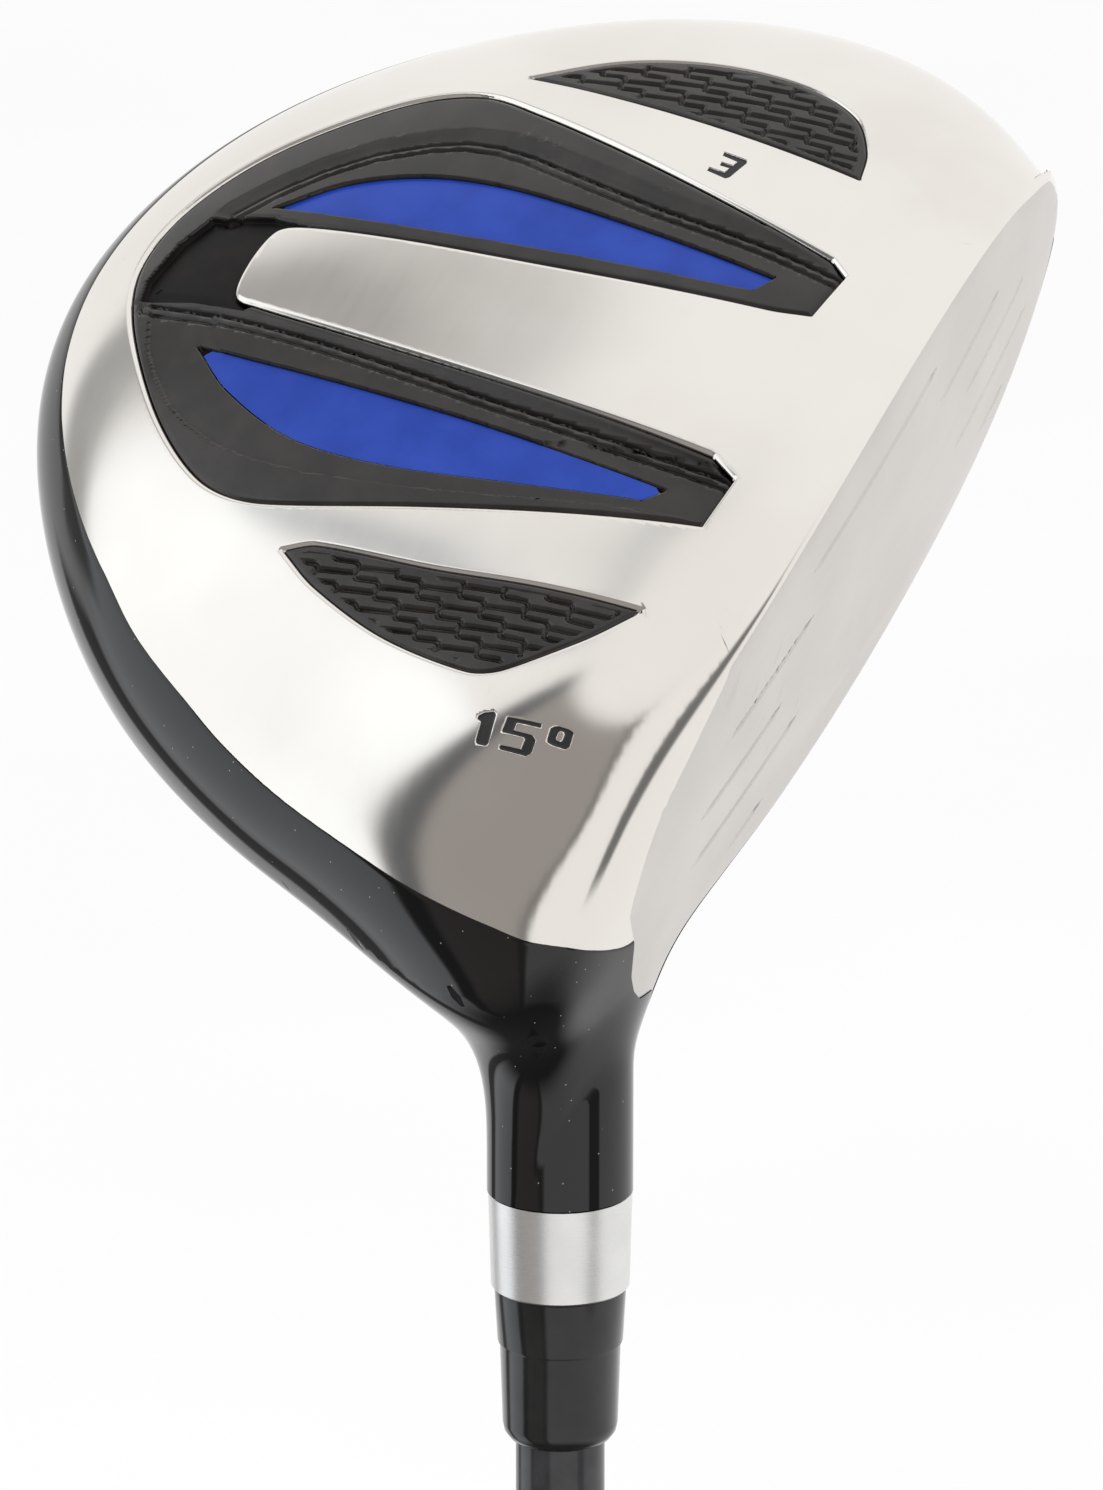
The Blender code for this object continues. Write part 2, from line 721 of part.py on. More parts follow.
pocket("badge_pocket", sole, BADGE_OUTLINE, pocket_floor)
badge = layer("badge_frame", BADGE_OUTLINE, GAP, insert_top, insert_foot, BLACK_PLASTIC, 0.3)
layer("badge_tape", BADGE_OUTLINE, 1.0, tape_top, tape_foot, ADHESIVE, 0.6)
pocket("toe_inlay_pocket", badge, TOE_INLAY_OUTLINE, inlay_floor)
pocket("heel_inlay_pocket", badge, HEEL_INLAY_OUTLINE, inlay_floor)
layer("toe_inlay", TOE_INLAY_OUTLINE, GAP, inlay_top, inlay_foot, BLUE_PLASTIC, 0.3)
layer("heel_inlay", HEEL_INLAY_OUTLINE, GAP, inlay_top, inlay_foot, BLUE_PLASTIC, 0.3)

# ---- Pads: black textured inserts beside the badge, on the heel and the toe.

pocket("heel_pad_pocket", sole, HEEL_PAD_OUTLINE, pocket_floor)
layer("heel_pad", HEEL_PAD_OUTLINE, GAP, insert_top, insert_foot, BLACK_PLASTIC, 0.4)
layer("heel_pad_tape", HEEL_PAD_OUTLINE, 1.0, tape_top, tape_foot, ADHESIVE, 0.6)
pocket("toe_pad_pocket", sole, TOE_PAD_OUTLINE, pocket_floor)
layer("toe_pad", TOE_PAD_OUTLINE, GAP, insert_top, insert_foot, BLACK_PLASTIC, 0.4)
layer("toe_pad_tape", TOE_PAD_OUTLINE, 1.0, tape_top, tape_foot, ADHESIVE, 0.6)

# ---- Hot melt: a soft amber pad poured on the inside of the sole.

turn = np.linspace(0, 2 * math.pi, 24, endpoint=False)
melt_outline = np.stack(
    (
        MELT_PLACE[0] + MELT_RADIUS * np.cos(turn),
        MELT_PLACE[1] + MELT_RADIUS * np.sin(turn),
    ),
    axis=1,
)
melt_foot = add_cutter("melt_foot", cavity_mesh.copy(), raised(GAP))
melt_top = add_cutter("melt_top", cavity_mesh.copy(), raised(GAP + MELT_THICKNESS))
melt_mesh = prism_mesh("hot_melt_pad", melt_outline, 0.0, 10.0)
melt = add_part("hot_melt_pad", melt_mesh, (0.6, 0.42, 0.12), 0.5, 0.0, HEAD_TO_CLUB)
boolean(melt, "INTERSECT", melt_foot)
boolean(melt, "DIFFERENCE", melt_top)

# ---- Hosel tube: thin steel cup inside the neck that the shaft is glued into.

tube_foot_z = CLUB_LENGTH - HOSEL_TUBE_FOOT
tube_top_z = CLUB_LENGTH - HOSEL_TOP
turned_part(
    "hosel_tube",
    (
        (0.0, tube_foot_z),
        (tube_radius, tube_foot_z),
        (tube_radius, tube_top_z),
        (tube_bore_radius, tube_top_z),
        (tube_bore_radius, tube_foot_z - TUBE_FLOOR),
        (0.0, tube_foot_z - TUBE_FLOOR),
    ),
    (0.45, 0.45, 0.46),
    0.35,
    1.0,
)

# ---- Trim ring: turned aluminium between the neck and the ferrule.

ring_top_z = tube_top_z - GAP
ring_foot_z = ring_top_z - RING_HEIGHT
ring_top_radius = RING_TOP_DIAMETER / 2
ring_foot_radius = RING_FOOT_DIAMETER / 2
turned_part(
    "trim_ring",
    (
        (ring_top_radius - EDGE_ROUND, ring_top_z),
        (ring_top_radius, ring_top_z - EDGE_ROUND),
        (ring_foot_radius, ring_foot_z + EDGE_ROUND),
        (ring_foot_radius - EDGE_ROUND, ring_foot_z),
        (tube_bore_radius, ring_foot_z),
        (tube_bore_radius, ring_top_z),
    ),
    (0.72, 0.72, 0.73),
    0.28,
    1.0,
)

# ---- Ferrule: black plastic sleeve that tapers down to the shaft.

ferrule_top_z = ring_foot_z - GAP
ferrule_foot_z = ferrule_top_z - FERRULE_HEIGHT
ferrule_top_radius = FERRULE_TOP_DIAMETER / 2
ferrule_foot_radius = FERRULE_FOOT_DIAMETER / 2
step_share = FERRULE_STEP_AT / FERRULE_HEIGHT
step_radius = ferrule_top_radius + (ferrule_foot_radius - ferrule_top_radius) * step_share
turned_part(
    "ferrule",
    (
        (ferrule_top_radius - EDGE_ROUND, ferrule_top_z),
        (ferrule_top_radius, ferrule_top_z - EDGE_ROUND),
        (step_radius, ferrule_top_z - FERRULE_STEP_AT),
        (step_radius - FERRULE_STEP, ferrule_top_z - FERRULE_STEP_AT),
        (ferrule_foot_radius, ferrule_foot_z + FERRULE_ROUND),
        (ferrule_foot_radius - 0.3 * FERRULE_ROUND, ferrule_foot_z + 0.3 * FERRULE_ROUND),
        (ferrule_foot_radius - FERRULE_ROUND, ferrule_foot_z),
        (tube_bore_radius, ferrule_foot_z),
        (tube_bore_radius, ferrule_top_z),
    ),
    (0.012, 0.012, 0.012),
    0.25,
    0.0,
)

# ---- Shaft: a tapered graphite tube, with a brass weight in its tip.

shaft_tip_z = CLUB_LENGTH - shaft_foot
shaft_butt_z = GRIP_CAP_HEIGHT + GAP
taper_start = shaft_butt_z + SHAFT_BUTT_PARALLEL
taper_end = shaft_tip_z - SHAFT_TIP_PARALLEL
tip_radius = SHAFT_TIP_DIAMETER / 2
butt_radius = SHAFT_BUTT_DIAMETER / 2
tip_bore = tip_radius - SHAFT_TIP_WALL
butt_bore = butt_radius - SHAFT_BUTT_WALL
turned_part(
    "shaft",
    (
        (tip_radius, shaft_tip_z),
        (tip_radius, taper_end),
        (butt_radius, taper_start),
        (butt_radius, shaft_butt_z),
        (butt_bore, shaft_butt_z),
        (butt_bore, taper_start),
        (tip_bore, taper_end),
        (tip_bore, shaft_tip_z),
    ),
    (0.03, 0.03, 0.033),
    0.3,
    0.0,
)
weight_radius = tip_bore - GAP
turned_part(
    "tip_weight",
    (
        (0.0, shaft_tip_z),
        (weight_radius - EDGE_ROUND, shaft_tip_z),
        (weight_radius, shaft_tip_z - EDGE_ROUND),
        (weight_radius, shaft_tip_z - TIP_WEIGHT_LENGTH + EDGE_ROUND),
        (weight_radius - EDGE_ROUND, shaft_tip_z - TIP_WEIGHT_LENGTH),
        (0.0, shaft_tip_z - TIP_WEIGHT_LENGTH),
    ),
    (0.7, 0.5, 0.2),
    0.3,
    1.0,
)


# ---- Grip: rubber sleeve over a layer of tape, closed by a cap with a vent.


def shaft_radius(z):
    return float(np.interp(z, (taper_start, taper_end), (butt_radius, tip_radius)))


sleeve_top_z = GRIP_LENGTH
sleeve_foot_z = GRIP_CAP_HEIGHT + GAP
tape_inner = [shaft_radius(z) + GAP for z in (sleeve_foot_z, taper_start, sleeve_top_z)]
tape_outer = [radius + GRIP_TAPE_THICKNESS for radius in tape_inner]
sleeve_inner = [radius + GAP for radius in tape_outer]
turned_part(
    "grip_tape",
    (
        (tape_outer[2], sleeve_top_z),
        (tape_outer[1], taper_start),
        (tape_outer[0], sleeve_foot_z),
        (tape_inner[0], sleeve_foot_z),
        (tape_inner[1], taper_start),
        (tape_inner[2], sleeve_top_z),
    ),
    (0.8, 0.78, 0.7),
    0.7,
    0.0,
)
turned_part(
    "grip_sleeve",
    (
        (GRIP_MOUTH_DIAMETER / 2 - EDGE_ROUND, sleeve_top_z),
        (GRIP_MOUTH_DIAMETER / 2, sleeve_top_z - EDGE_ROUND),
        (GRIP_HOLD_DIAMETER / 2, GRIP_HOLD_AT),
        (GRIP_BUTT_DIAMETER / 2, sleeve_foot_z),
        (sleeve_inner[0], sleeve_foot_z),
        (sleeve_inner[1], taper_start),
        (sleeve_inner[2], sleeve_top_z),
    ),
    (0.02, 0.02, 0.02),
    0.8,
    0.0,
)
cap_radius = GRIP_CAP_DIAMETER / 2
turned_part(
    "grip_cap",
    (
        (GRIP_BUTT_DIAMETER / 2, GRIP_CAP_HEIGHT),
        (cap_radius, GRIP_CAP_HEIGHT - 1.5),
        (cap_radius, GRIP_CAP_ROUND),
        (cap_radius - 0.3 * GRIP_CAP_ROUND, 0.3 * GRIP_CAP_ROUND),
        (cap_radius - GRIP_CAP_ROUND, 0.0),
        (VENT_DIAMETER / 2, 0.0),
        (VENT_DIAMETER / 2, GRIP_CAP_HEIGHT),
    ),
    (0.02, 0.02, 0.02),
    0.7,
    0.0,
)
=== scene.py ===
import math

import bpy
import numpy as np
from mathutils import Matrix, Vector


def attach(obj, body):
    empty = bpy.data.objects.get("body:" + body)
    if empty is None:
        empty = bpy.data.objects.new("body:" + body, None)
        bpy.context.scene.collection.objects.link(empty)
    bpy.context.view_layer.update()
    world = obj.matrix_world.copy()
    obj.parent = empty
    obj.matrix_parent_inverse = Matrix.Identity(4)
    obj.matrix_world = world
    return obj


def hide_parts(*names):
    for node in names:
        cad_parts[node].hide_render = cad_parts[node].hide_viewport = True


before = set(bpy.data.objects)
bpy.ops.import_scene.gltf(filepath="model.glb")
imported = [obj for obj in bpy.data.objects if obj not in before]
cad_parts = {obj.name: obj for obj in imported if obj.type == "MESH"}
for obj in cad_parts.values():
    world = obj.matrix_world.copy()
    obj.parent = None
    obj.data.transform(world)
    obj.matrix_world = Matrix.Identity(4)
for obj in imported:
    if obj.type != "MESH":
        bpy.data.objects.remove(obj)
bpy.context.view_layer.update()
scene = bpy.context.scene
scene.view_settings.view_transform = "Standard"

# ---- Camera: a long lens on the head's sole, from the heel side and a little above.
# The club stands on its butt, so the head is at the top and the shaft leaves the picture below.

AZIMUTH = math.radians(30.083)
ELEVATION = math.radians(16.862)
DISTANCE = 0.864966
toward = Vector(
    (
        math.sin(AZIMUTH) * math.cos(ELEVATION),
        -math.cos(AZIMUTH) * math.cos(ELEVATION),
        math.sin(ELEVATION),
    )
)
up = (Vector((0, 0, 1)) - toward.z * toward).normalized()
right = up.cross(toward).normalized()
aim = Vector((0, 0, 1.092)) - 0.000836 * right - 0.014312 * up
lens = bpy.data.cameras.new("camera")
lens.sensor_fit = "VERTICAL"
lens.sensor_height = 24.0
lens.lens = 149.99
lens.clip_start = 0.01
camera = bpy.data.objects.new("camera", lens)
camera.matrix_world = Matrix.Translation(aim + DISTANCE * toward) @ Matrix(
    (right, up, toward)
).transposed().to_4x4()
scene.collection.objects.link(camera)
scene.camera = camera

# ---- Studio: a pale floor, an even white sky and one large soft lamp on the heel side.
# A glowing sphere, no lamp, stands round the head, and only shiny surfaces see it: its glow
# paints the reflections of a light tent, with the lamp's white cloth, the grey opening for the
# camera, dark poles beside them, and a dark table under the tent.

HEAD_HEIGHT = 1.09
sky = bpy.data.worlds.new("sky")
sky.use_nodes = True
sky.node_tree.nodes["Background"].inputs["Color"].default_value = (1.0, 1.0, 1.0, 1.0)
sky.node_tree.nodes["Background"].inputs["Strength"].default_value = 1.0
scene.world = sky

lamp = bpy.data.lights.new("soft_lamp", "AREA")
lamp.shape = "RECTANGLE"
lamp.size = 1.4
lamp.size_y = 1.8
lamp.energy = 10.0
LAMP_DISTANCE = 2.6
lamp_turn = math.radians(-70.0)
lamp_way = Vector((math.sin(lamp_turn), -math.cos(lamp_turn), 0.5)).normalized()
lamp_holder = bpy.data.objects.new("soft_lamp", lamp)
lamp_holder.matrix_world = Matrix.Translation(
    Vector((0, 0, HEAD_HEIGHT)) + LAMP_DISTANCE * lamp_way
) @ lamp_way.to_track_quat("Z", "Y").to_matrix().to_4x4()
lamp_holder.visible_glossy = False
scene.collection.objects.link(lamp_holder)


class Value:
    """One value in a shader, so that shader maths is written as Python's."""

    def __init__(self, tree, socket):
        self.tree = tree
        self.socket = socket

    def node(self, kind, settings, values, output=0):
        made = self.tree.nodes.new("ShaderNode" + kind)
        for key, value in settings.items():
            setattr(made, key, value)
        for key, value in values.items():
            if isinstance(value, Value):
                self.tree.links.new(value.socket, made.inputs[key])
            else:
                made.inputs[key].default_value = value
        return Value(self.tree, made.outputs[output])

    def math(self, operation, *values):
        return self.node("Math", {"operation": operation}, dict(enumerate(values)))

    def __add__(self, other):
        return self.math("ADD", self, other)

    def __sub__(self, other):
        return self.math("SUBTRACT", self, other)

    def __rsub__(self, other):
        return self.math("SUBTRACT", other, self)

    def __mul__(self, other):
        return self.math("MULTIPLY", self, other)

    def __gt__(self, other):
        return self.math("GREATER_THAN", self, other)

    def __lt__(self, other):
        return self.math("LESS_THAN", self, other)

    __radd__ = __add__
    __rmul__ = __mul__

    def rise(self, low, high):
        """0 below low and 1 above high, smooth between them."""
        settings = {"interpolation_type": "SMOOTHSTEP"}
        return self.node("MapRange", settings, {0: self, 1: low, 2: high})

    def band(self, low, high, soft):
        """1 between low and high, with soft borders."""
        half = soft / 2
        return self.rise(low - half, low + half) * (1.0 - self.rise(high - half, high + half))

    def blend(self, first, second):
        """The first colour where this value is 0, the second where it is 1."""
        settings = {"data_type": "RGBA", "clamp_factor": True}
        first = (*first, 1.0) if isinstance(first, tuple) else first
        second = (*second, 1.0) if isinstance(second, tuple) else second
        return self.node("Mix", settings, {0: self, 6: first, 7: second}, 2)

    def along(self, direction):
        """How far this position lies along a direction."""
        return self.node("VectorMath", {"operation": "DOT_PRODUCT"}, {0: self, 1: direction}, 1)

    def stretched(self, scales):
        """This position scaled along the head's axes: heel to toe, to the target, and up."""
        values = [self.along(axis) * scale for axis, scale in zip(HEAD_AXES, scales)]
        return self.node("CombineXYZ", {}, dict(enumerate(values)))

    def noise(self, scale, detail=2.0, roughness=0.5):
        values = {"Vector": self, "Scale": scale, "Detail": detail, "Roughness": roughness}
        return self.node("TexNoise", {}, values)

    def mottled(self, scale, dark, light, detail=3.0, low=0.3):
        """A colour in soft spots between two near ones."""
        return self.noise(scale, detail).rise(low, 0.7).blend(dark, light)

    def cells(self, scale, output="Distance"):
        return self.node("TexVoronoi", {}, {"Vector": self, "Scale": scale}, output)

    def bump(self, height, strength=1.0):
        """A normal from a height in metres."""
        values = {"Strength": strength, "Distance": 1.0, "Height": height}
        return self.node("Bump", {}, values)


lie = math.radians(57.5)
HEAD_AXES = (
    (0.0, math.sin(lie), math.cos(lie)),
    (1.0, 0.0, 0.0),
    (0.0, math.cos(lie), -math.sin(lie)),
)


def new_material(name):
    """A new material, and the position on the object in metres for its pattern."""
    made = bpy.data.materials.new(name)
    made.use_nodes = True
    place = Value(made.node_tree, None).node("TexCoord", {}, {}, "Object")
    return made, place


def finish(made, constants=None, **values):
    """Fills in the Principled shader: values may vary over the surface, constants may not."""
    surface = made.node_tree.nodes["Principled BSDF"]
    for key, value in (constants or {}).items():
        surface.inputs[key].default_value = value
    for key, value in values.items():
        socket = surface.inputs[key.replace("_", " ")]
        if isinstance(value, Value):
            made.node_tree.links.new(value.socket, socket)
        else:
            socket.default_value = value
    return made


floor_reach = 40.0
floor_corners = ((-1, -1, 0), (1, -1, 0), (1, 1, 0), (-1, 1, 0))
floor_mesh = bpy.data.meshes.new("floor")
floor_mesh.from_pydata(
    [[floor_reach * part for part in corner] for corner in floor_corners], [], [(0, 1, 2, 3)]
)
floor = bpy.data.objects.new("floor", floor_mesh)
floor.location.z = -0.001
scene.collection.objects.link(floor)
made, place = new_material("floor_paper")
finish(
    made,
    {"Specular IOR Level": 0.0},
    Base_Color=place.noise(3.0, 4.0).blend((0.95, 0.95, 0.95), (0.98, 0.98, 0.98)),
    Roughness=0.9,
)
floor_mesh.materials.append(made)

card_distance = 1.3
table_height = 0.02
card_turns = np.radians(np.linspace(-180.0, 180.0, 121))
card_tilts = np.radians(np.linspace(-89.9, 86.0, 59))
card_points = []
card_faces = []
for tilt in card_tilts:
    for turn in card_turns:
        reach = card_distance * math.cos(tilt)
        level = max(card_distance * math.sin(tilt), table_height - HEAD_HEIGHT)
        card_points.append((reach * math.sin(turn), -reach * math.cos(turn), level))
for row in range(len(card_tilts) - 1):
    for column in range(len(card_turns) - 1):
        start = row * len(card_turns) + column
        above = start + len(card_turns)
        card_faces.append((start, start + 1, above + 1, above))
card_mesh = bpy.data.meshes.new("glowing_reflection_cards")
card_mesh.from_pydata(card_points, [], card_faces)
reflection_cards = bpy.data.objects.new("glowing_reflection_cards", card_mesh)
reflection_cards.location.z = HEAD_HEIGHT
scene.collection.objects.link(reflection_cards)
# The sphere's glow: painted reflections of the tent, seen only by shiny surfaces.
reflection_glow_material = bpy.data.materials.new("tent_painted_reflections")
reflection_glow_material.use_nodes = True
tree = reflection_glow_material.node_tree
tree.nodes.clear()
place = Value(tree, None).node("TexCoord", {}, {}, "Object")
east, north, height = (place.along(axis) for axis in ((1, 0, 0), (0, 1, 0), (0, 0, 1)))
azimuth = east.math("ARCTAN2", east, north * -1.0) * (180 / math.pi)
level_reach = height.math("SQRT", east * east + north * north)
elevation = height.math("ARCTAN2", height, level_reach) * (180 / math.pi)
window = azimuth.band(-90.0, -53.0, 4.0) * (1.0 - elevation.rise(47.0, 55.0))
right_side = azimuth - elevation.rise(-30.0, 40.0) * 32.0
opening = azimuth.rise(-55.0, -51.0) * (1.0 - right_side.rise(-2.0, 6.0))
opening = opening * (1.0 - (elevation + azimuth.rise(-60.0, 40.0) * 8.0).rise(72.0, 78.0))
near_edge = opening * azimuth.band(-53.0, -42.0, 6.0)
far_edge = opening * right_side.rise(-8.0, -3.0)
pole = (azimuth + (elevation - 20.0) * 0.22).band(-101.0, -90.0, 4.0)
pole = pole * elevation.band(2.0, 60.0, 8.0)
low_pole = azimuth.band(-107.0, -94.0, 4.0) * (1.0 - elevation.rise(-12.0, -4.0))
seam = (azimuth - (elevation - 62.0) * 0.15).band(-83.0, -77.0, 4.0)
seam = seam * elevation.band(48.0, 78.0, 6.0)
stand = azimuth.band(76.0, 94.0, 4.0) * (1.0 - elevation.rise(30.0, 50.0))
stand = stand * elevation.rise(-34.0, -22.0)
# Painted reflections: brighter at the lamp's window, darker at the opening, its edges, poles, seam,
# stand and table.
colour = window.blend((1.0, 1.0, 1.0), (1.2, 1.24, 1.28))
colour = opening.blend(colour, (0.36, 0.34, 0.33))
colour = (near_edge * 0.9).blend(colour, (0.07, 0.08, 0.09))
colour = (far_edge * 0.6).blend(colour, (0.1, 0.1, 0.1))
colour = (pole * 0.9).blend(colour, (0.30, 0.30, 0.30))
colour = (seam * 0.8).blend(colour, (0.3, 0.34, 0.4))
colour = (low_pole * 0.9).blend(colour, (0.1, 0.1, 0.1))
colour = (stand * 0.9).blend(colour, (0.08, 0.08, 0.08))
table = 1.0 - elevation.rise(-66.0, -44.0)
colour = table.blend(colour, (0.1, 0.1, 0.1))
glow = tree.nodes.new("ShaderNodeEmission")
tree.links.new(colour.socket, glow.inputs["Color"])
output = tree.nodes.new("ShaderNodeOutputMaterial")
tree.links.new(glow.outputs[0], output.inputs["Surface"])
card_mesh.materials.append(reflection_glow_material)
reflection_cards.visible_camera = False
reflection_cards.visible_diffuse = False
reflection_cards.visible_shadow = False
reflection_cards.visible_transmission = False

# ---- Head form: what the sole, the crown and the face share, in the head's own frame.
# x runs from heel to toe, y to the target, z up from the ground, in millimetres: a rounded
# body with the neck blended on, cut off in front by the bulged and rolled face.

CLUB_LENGTH = 1092.0
HEAD_MIDDLE = (36.0, -24.0)
HEAD_RADII = np.array((50.0, 53.5, 55.0, 61.5, 66.5, 71.5, 60.0, 52.5, 51.0, 53.0, 51.0, 48.5))
HOSEL_TOP = 58.8
NECK_RADIUS = 6.82
NECK_BLEND = 16.0
NECK_INNER_END = 22.0
CROWN_HEIGHT = 35.8
WIDEST_HEIGHT = 18.8
WIDEST_LEAN = (-1.9, 4.8)
LOFT = math.radians(15.0)
FACE_FRONT = 20.8
FACE_MIDDLE = (36.0, 18.0)
FACE_BULGE = 400.0
FACE_ROLL = 280.0
RIM_THICKNESS = 1.1
RIM_PROUD = 1.1
RIM_PROUD_HEIGHTS = (11.5, 16.0)
RIM_PROUD_START = (0.0, 20.0)
EDGE_ROUNDING = 1.5
HEEL_ROUNDING = 3.0
NECK_FILLET = 5.0
HEEL_SPAN = (-18.0, 10.0)
HEEL_TOP = (30.0, 38.0)
FILLET_RUN_OUT = (30.0, 52.0)
FILLET_DEPTH = (-14.0, -5.0)
HEEL_INSIDE = 27.0
FACE_HEEL_HEIGHTS = (6.3, 8.7, 10.2, 12.0, 15.0, 18.9, 20.4, 24.2)
FACE_HEEL_HEIGHTS += (26.2, 28.6, 31.2, 33.2, 34.4, 35.5, 59.0)
FACE_HEEL_ENDS = (-0.3, -6.5, -9.8, -14.0, -17.2, -20.0, -20.6, -20.4)
FACE_HEEL_ENDS += (-20.8, -21.2, -20.9, -20.1, -18.4, -17.0, -32.0)
TO_CLUB = np.array(HEAD_AXES).T
UP_SHAFT = np.array((-math.cos(lie), 0.0, math.sin(lie)))


def step(value, low, high):
    share = np.clip((value - low) / (high - low), 0, 1)
    return share * share * (3 - 2 * share)


def smooth_min(first, second, width):
    """Two forms joined with a fillet whose curvature runs out smoothly."""
    share = np.clip(1 - np.abs(first - second) / (1.5 * width), 0, 1)
    return np.minimum(first, second) - width * share**3 / 4


def outline_radius(at):
    count = len(HEAD_RADII)
    gap = 2 * math.pi / count
    wrap = np.roll(np.eye(count), 1, axis=1)
    bends = np.roll(HEAD_RADII, 1) - 2 * HEAD_RADII + np.roll(HEAD_RADII, -1)
    second = np.linalg.solve(4 * np.eye(count) + wrap + wrap.T, 6 * bends / gap**2)
    turned = np.mod(at, 2 * math.pi) / gap
    index = np.minimum(turned.astype(int), count - 1)
    after = (index + 1) % count
    u = turned - index
    v = 1 - u
    bend = ((v**3 - v) * second[index] + (u**3 - u) * second[after]) * gap**2 / 6
    return HEAD_RADII[index] * v + HEAD_RADII[after] * u + bend


def before_face(points):
    """How far points lie in front of the face."""
    x, y, z = np.moveaxis(points, -1, 0)
    bulge = (x - FACE_MIDDLE[0]) ** 2 / (2 * FACE_BULGE)
    roll = (z - FACE_MIDDLE[1]) ** 2 / (2 * FACE_ROLL)
    plane = FACE_FRONT - math.tan(LOFT) * z
    return (y - plane + bulge + roll) * 0.96


def body_value(points):
    x, y, z = np.moveaxis(points, -1, 0)
    across = x - HEAD_MIDDLE[0]
    along = y - HEAD_MIDDLE[1]
    radius = np.hypot(across, along) + 1e-9
    # The face plate stands proud of the body at the toe and along the crown.
    proud = step(before_face(points), -RIM_THICKNESS - 0.1, -RIM_THICKNESS + 0.1)
    proud = RIM_PROUD * proud * step(z, *RIM_PROUD_HEIGHTS) * step(x, *RIM_PROUD_START)
    outline = outline_radius(np.arctan2(along, across)) + proud
    rim = WIDEST_HEIGHT + (WIDEST_LEAN[0] * across + WIDEST_LEAN[1] * along) / radius
    above = z >= rim
    frontness = np.clip(along / radius, 0, 1) ** 2
    plan_power = np.where(above, 2.15 + 3.7 * frontness, 3.2)
    rise_power = np.where(above, 2.0, 2.35)
    height = np.where(above, CROWN_HEIGHT - rim, rim)
    total = (radius / outline) ** plan_power + (np.abs(z - rim) / height) ** rise_power
    return (total ** (2 / (plan_power + rise_power)) - 1) * 26.0


def neck_value(points):
    up = np.maximum(points @ UP_SHAFT, NECK_INNER_END)
    return np.linalg.norm(points - up[..., None] * UP_SHAFT, axis=-1) - NECK_RADIUS


def head_value(points):
    return smooth_min(body_value(points), neck_value(points), NECK_BLEND)


def cut_value(points):
    """Below zero inside the head with its face cut, before the neck is made whole again."""
    heelward = 1 - step(points[..., 0], *HEEL_SPAN)
    rounding = EDGE_ROUNDING + HEEL_ROUNDING * heelward * (1 - step(points[..., 2], *HEEL_TOP))
    return -smooth_min(-head_value(points), -before_face(points), rounding)


def whole_value(points):
    """The whole head. A fillet between the cut front and the neck runs out up the neck."""
    low_down = 1 - step(points @ UP_SHAFT, *FILLET_RUN_OUT)
    fillet = NECK_FILLET * low_down * step(before_face(points), *FILLET_DEPTH)
    return smooth_min(cut_value(points), neck_value(points), 0.21 + fillet)


def face_side(points):
    """Above zero on the face, below zero on the rest of the head."""
    edge = before_face(points) - head_value(points)
    heel_end = points[..., 0] - np.interp(points[..., 2], FACE_HEEL_HEIGHTS, FACE_HEEL_ENDS)
    return np.minimum(np.minimum(edge, heel_end), neck_value(points) - cut_value(points))


def slope(points, value, reach=0.02):
    steps = np.eye(3) * reach
    return np.stack([value(points + one) - value(points - one) for one in steps], -1) / (2 * reach)


def settle(points, value, times=6):
    """Moves points onto the form."""
    for _ in range(times):
        lean = slope(points, value)
        fall = value(points) / np.maximum((lean**2).sum(-1), 0.05)
        points = points - 0.9 * fall[..., None] * lean
    return points


def cast(value, starts, directions):
    far = np.full(directions.shape[:2], 2.0)
    near = np.zeros_like(far)
    left = np.zeros(far.shape, bool)
    while not left.all():
        left |= value(starts + far[..., None] * directions) > 0
        near = np.where(left, near, far)
        far = np.where(left, far, far + 2.0)
    for _ in range(18):
        middle = (near + far) / 2
        within = value(starts + middle[..., None] * directions) <= 0
        near = np.where(within, middle, near)
        far = np.where(within, far, middle)
    return starts + near[..., None] * directions


def cones(axis, half_angles, sides):
    turn = np.linspace(0, 2 * math.pi, sides, endpoint=False)
    target = np.array((0.0, 1.0, 0.0))
    first = target - (axis @ target) * axis
    first /= np.linalg.norm(first)
    second = np.cross(axis, first)
    around = np.cos(turn)[:, None] * first + np.sin(turn)[:, None] * second
    return np.cos(half_angles)[:, None, None] * axis + np.sin(half_angles)[:, None, None] * around


def grid_faces(rows, columns, closed):
    """Two triangles for each cell of a grid of points."""
    row, column = np.meshgrid(np.arange(rows - 1), np.arange(columns - (not closed)), indexing="ij")
    beside = (column + 1) % columns
    a, b = row * columns + column, row * columns + beside
    c, d = a + columns, b + columns
    halves = (np.stack((a, b, d), -1), np.stack((a, d, c), -1))
    return np.concatenate([half.reshape(-1, 3) for half in halves])


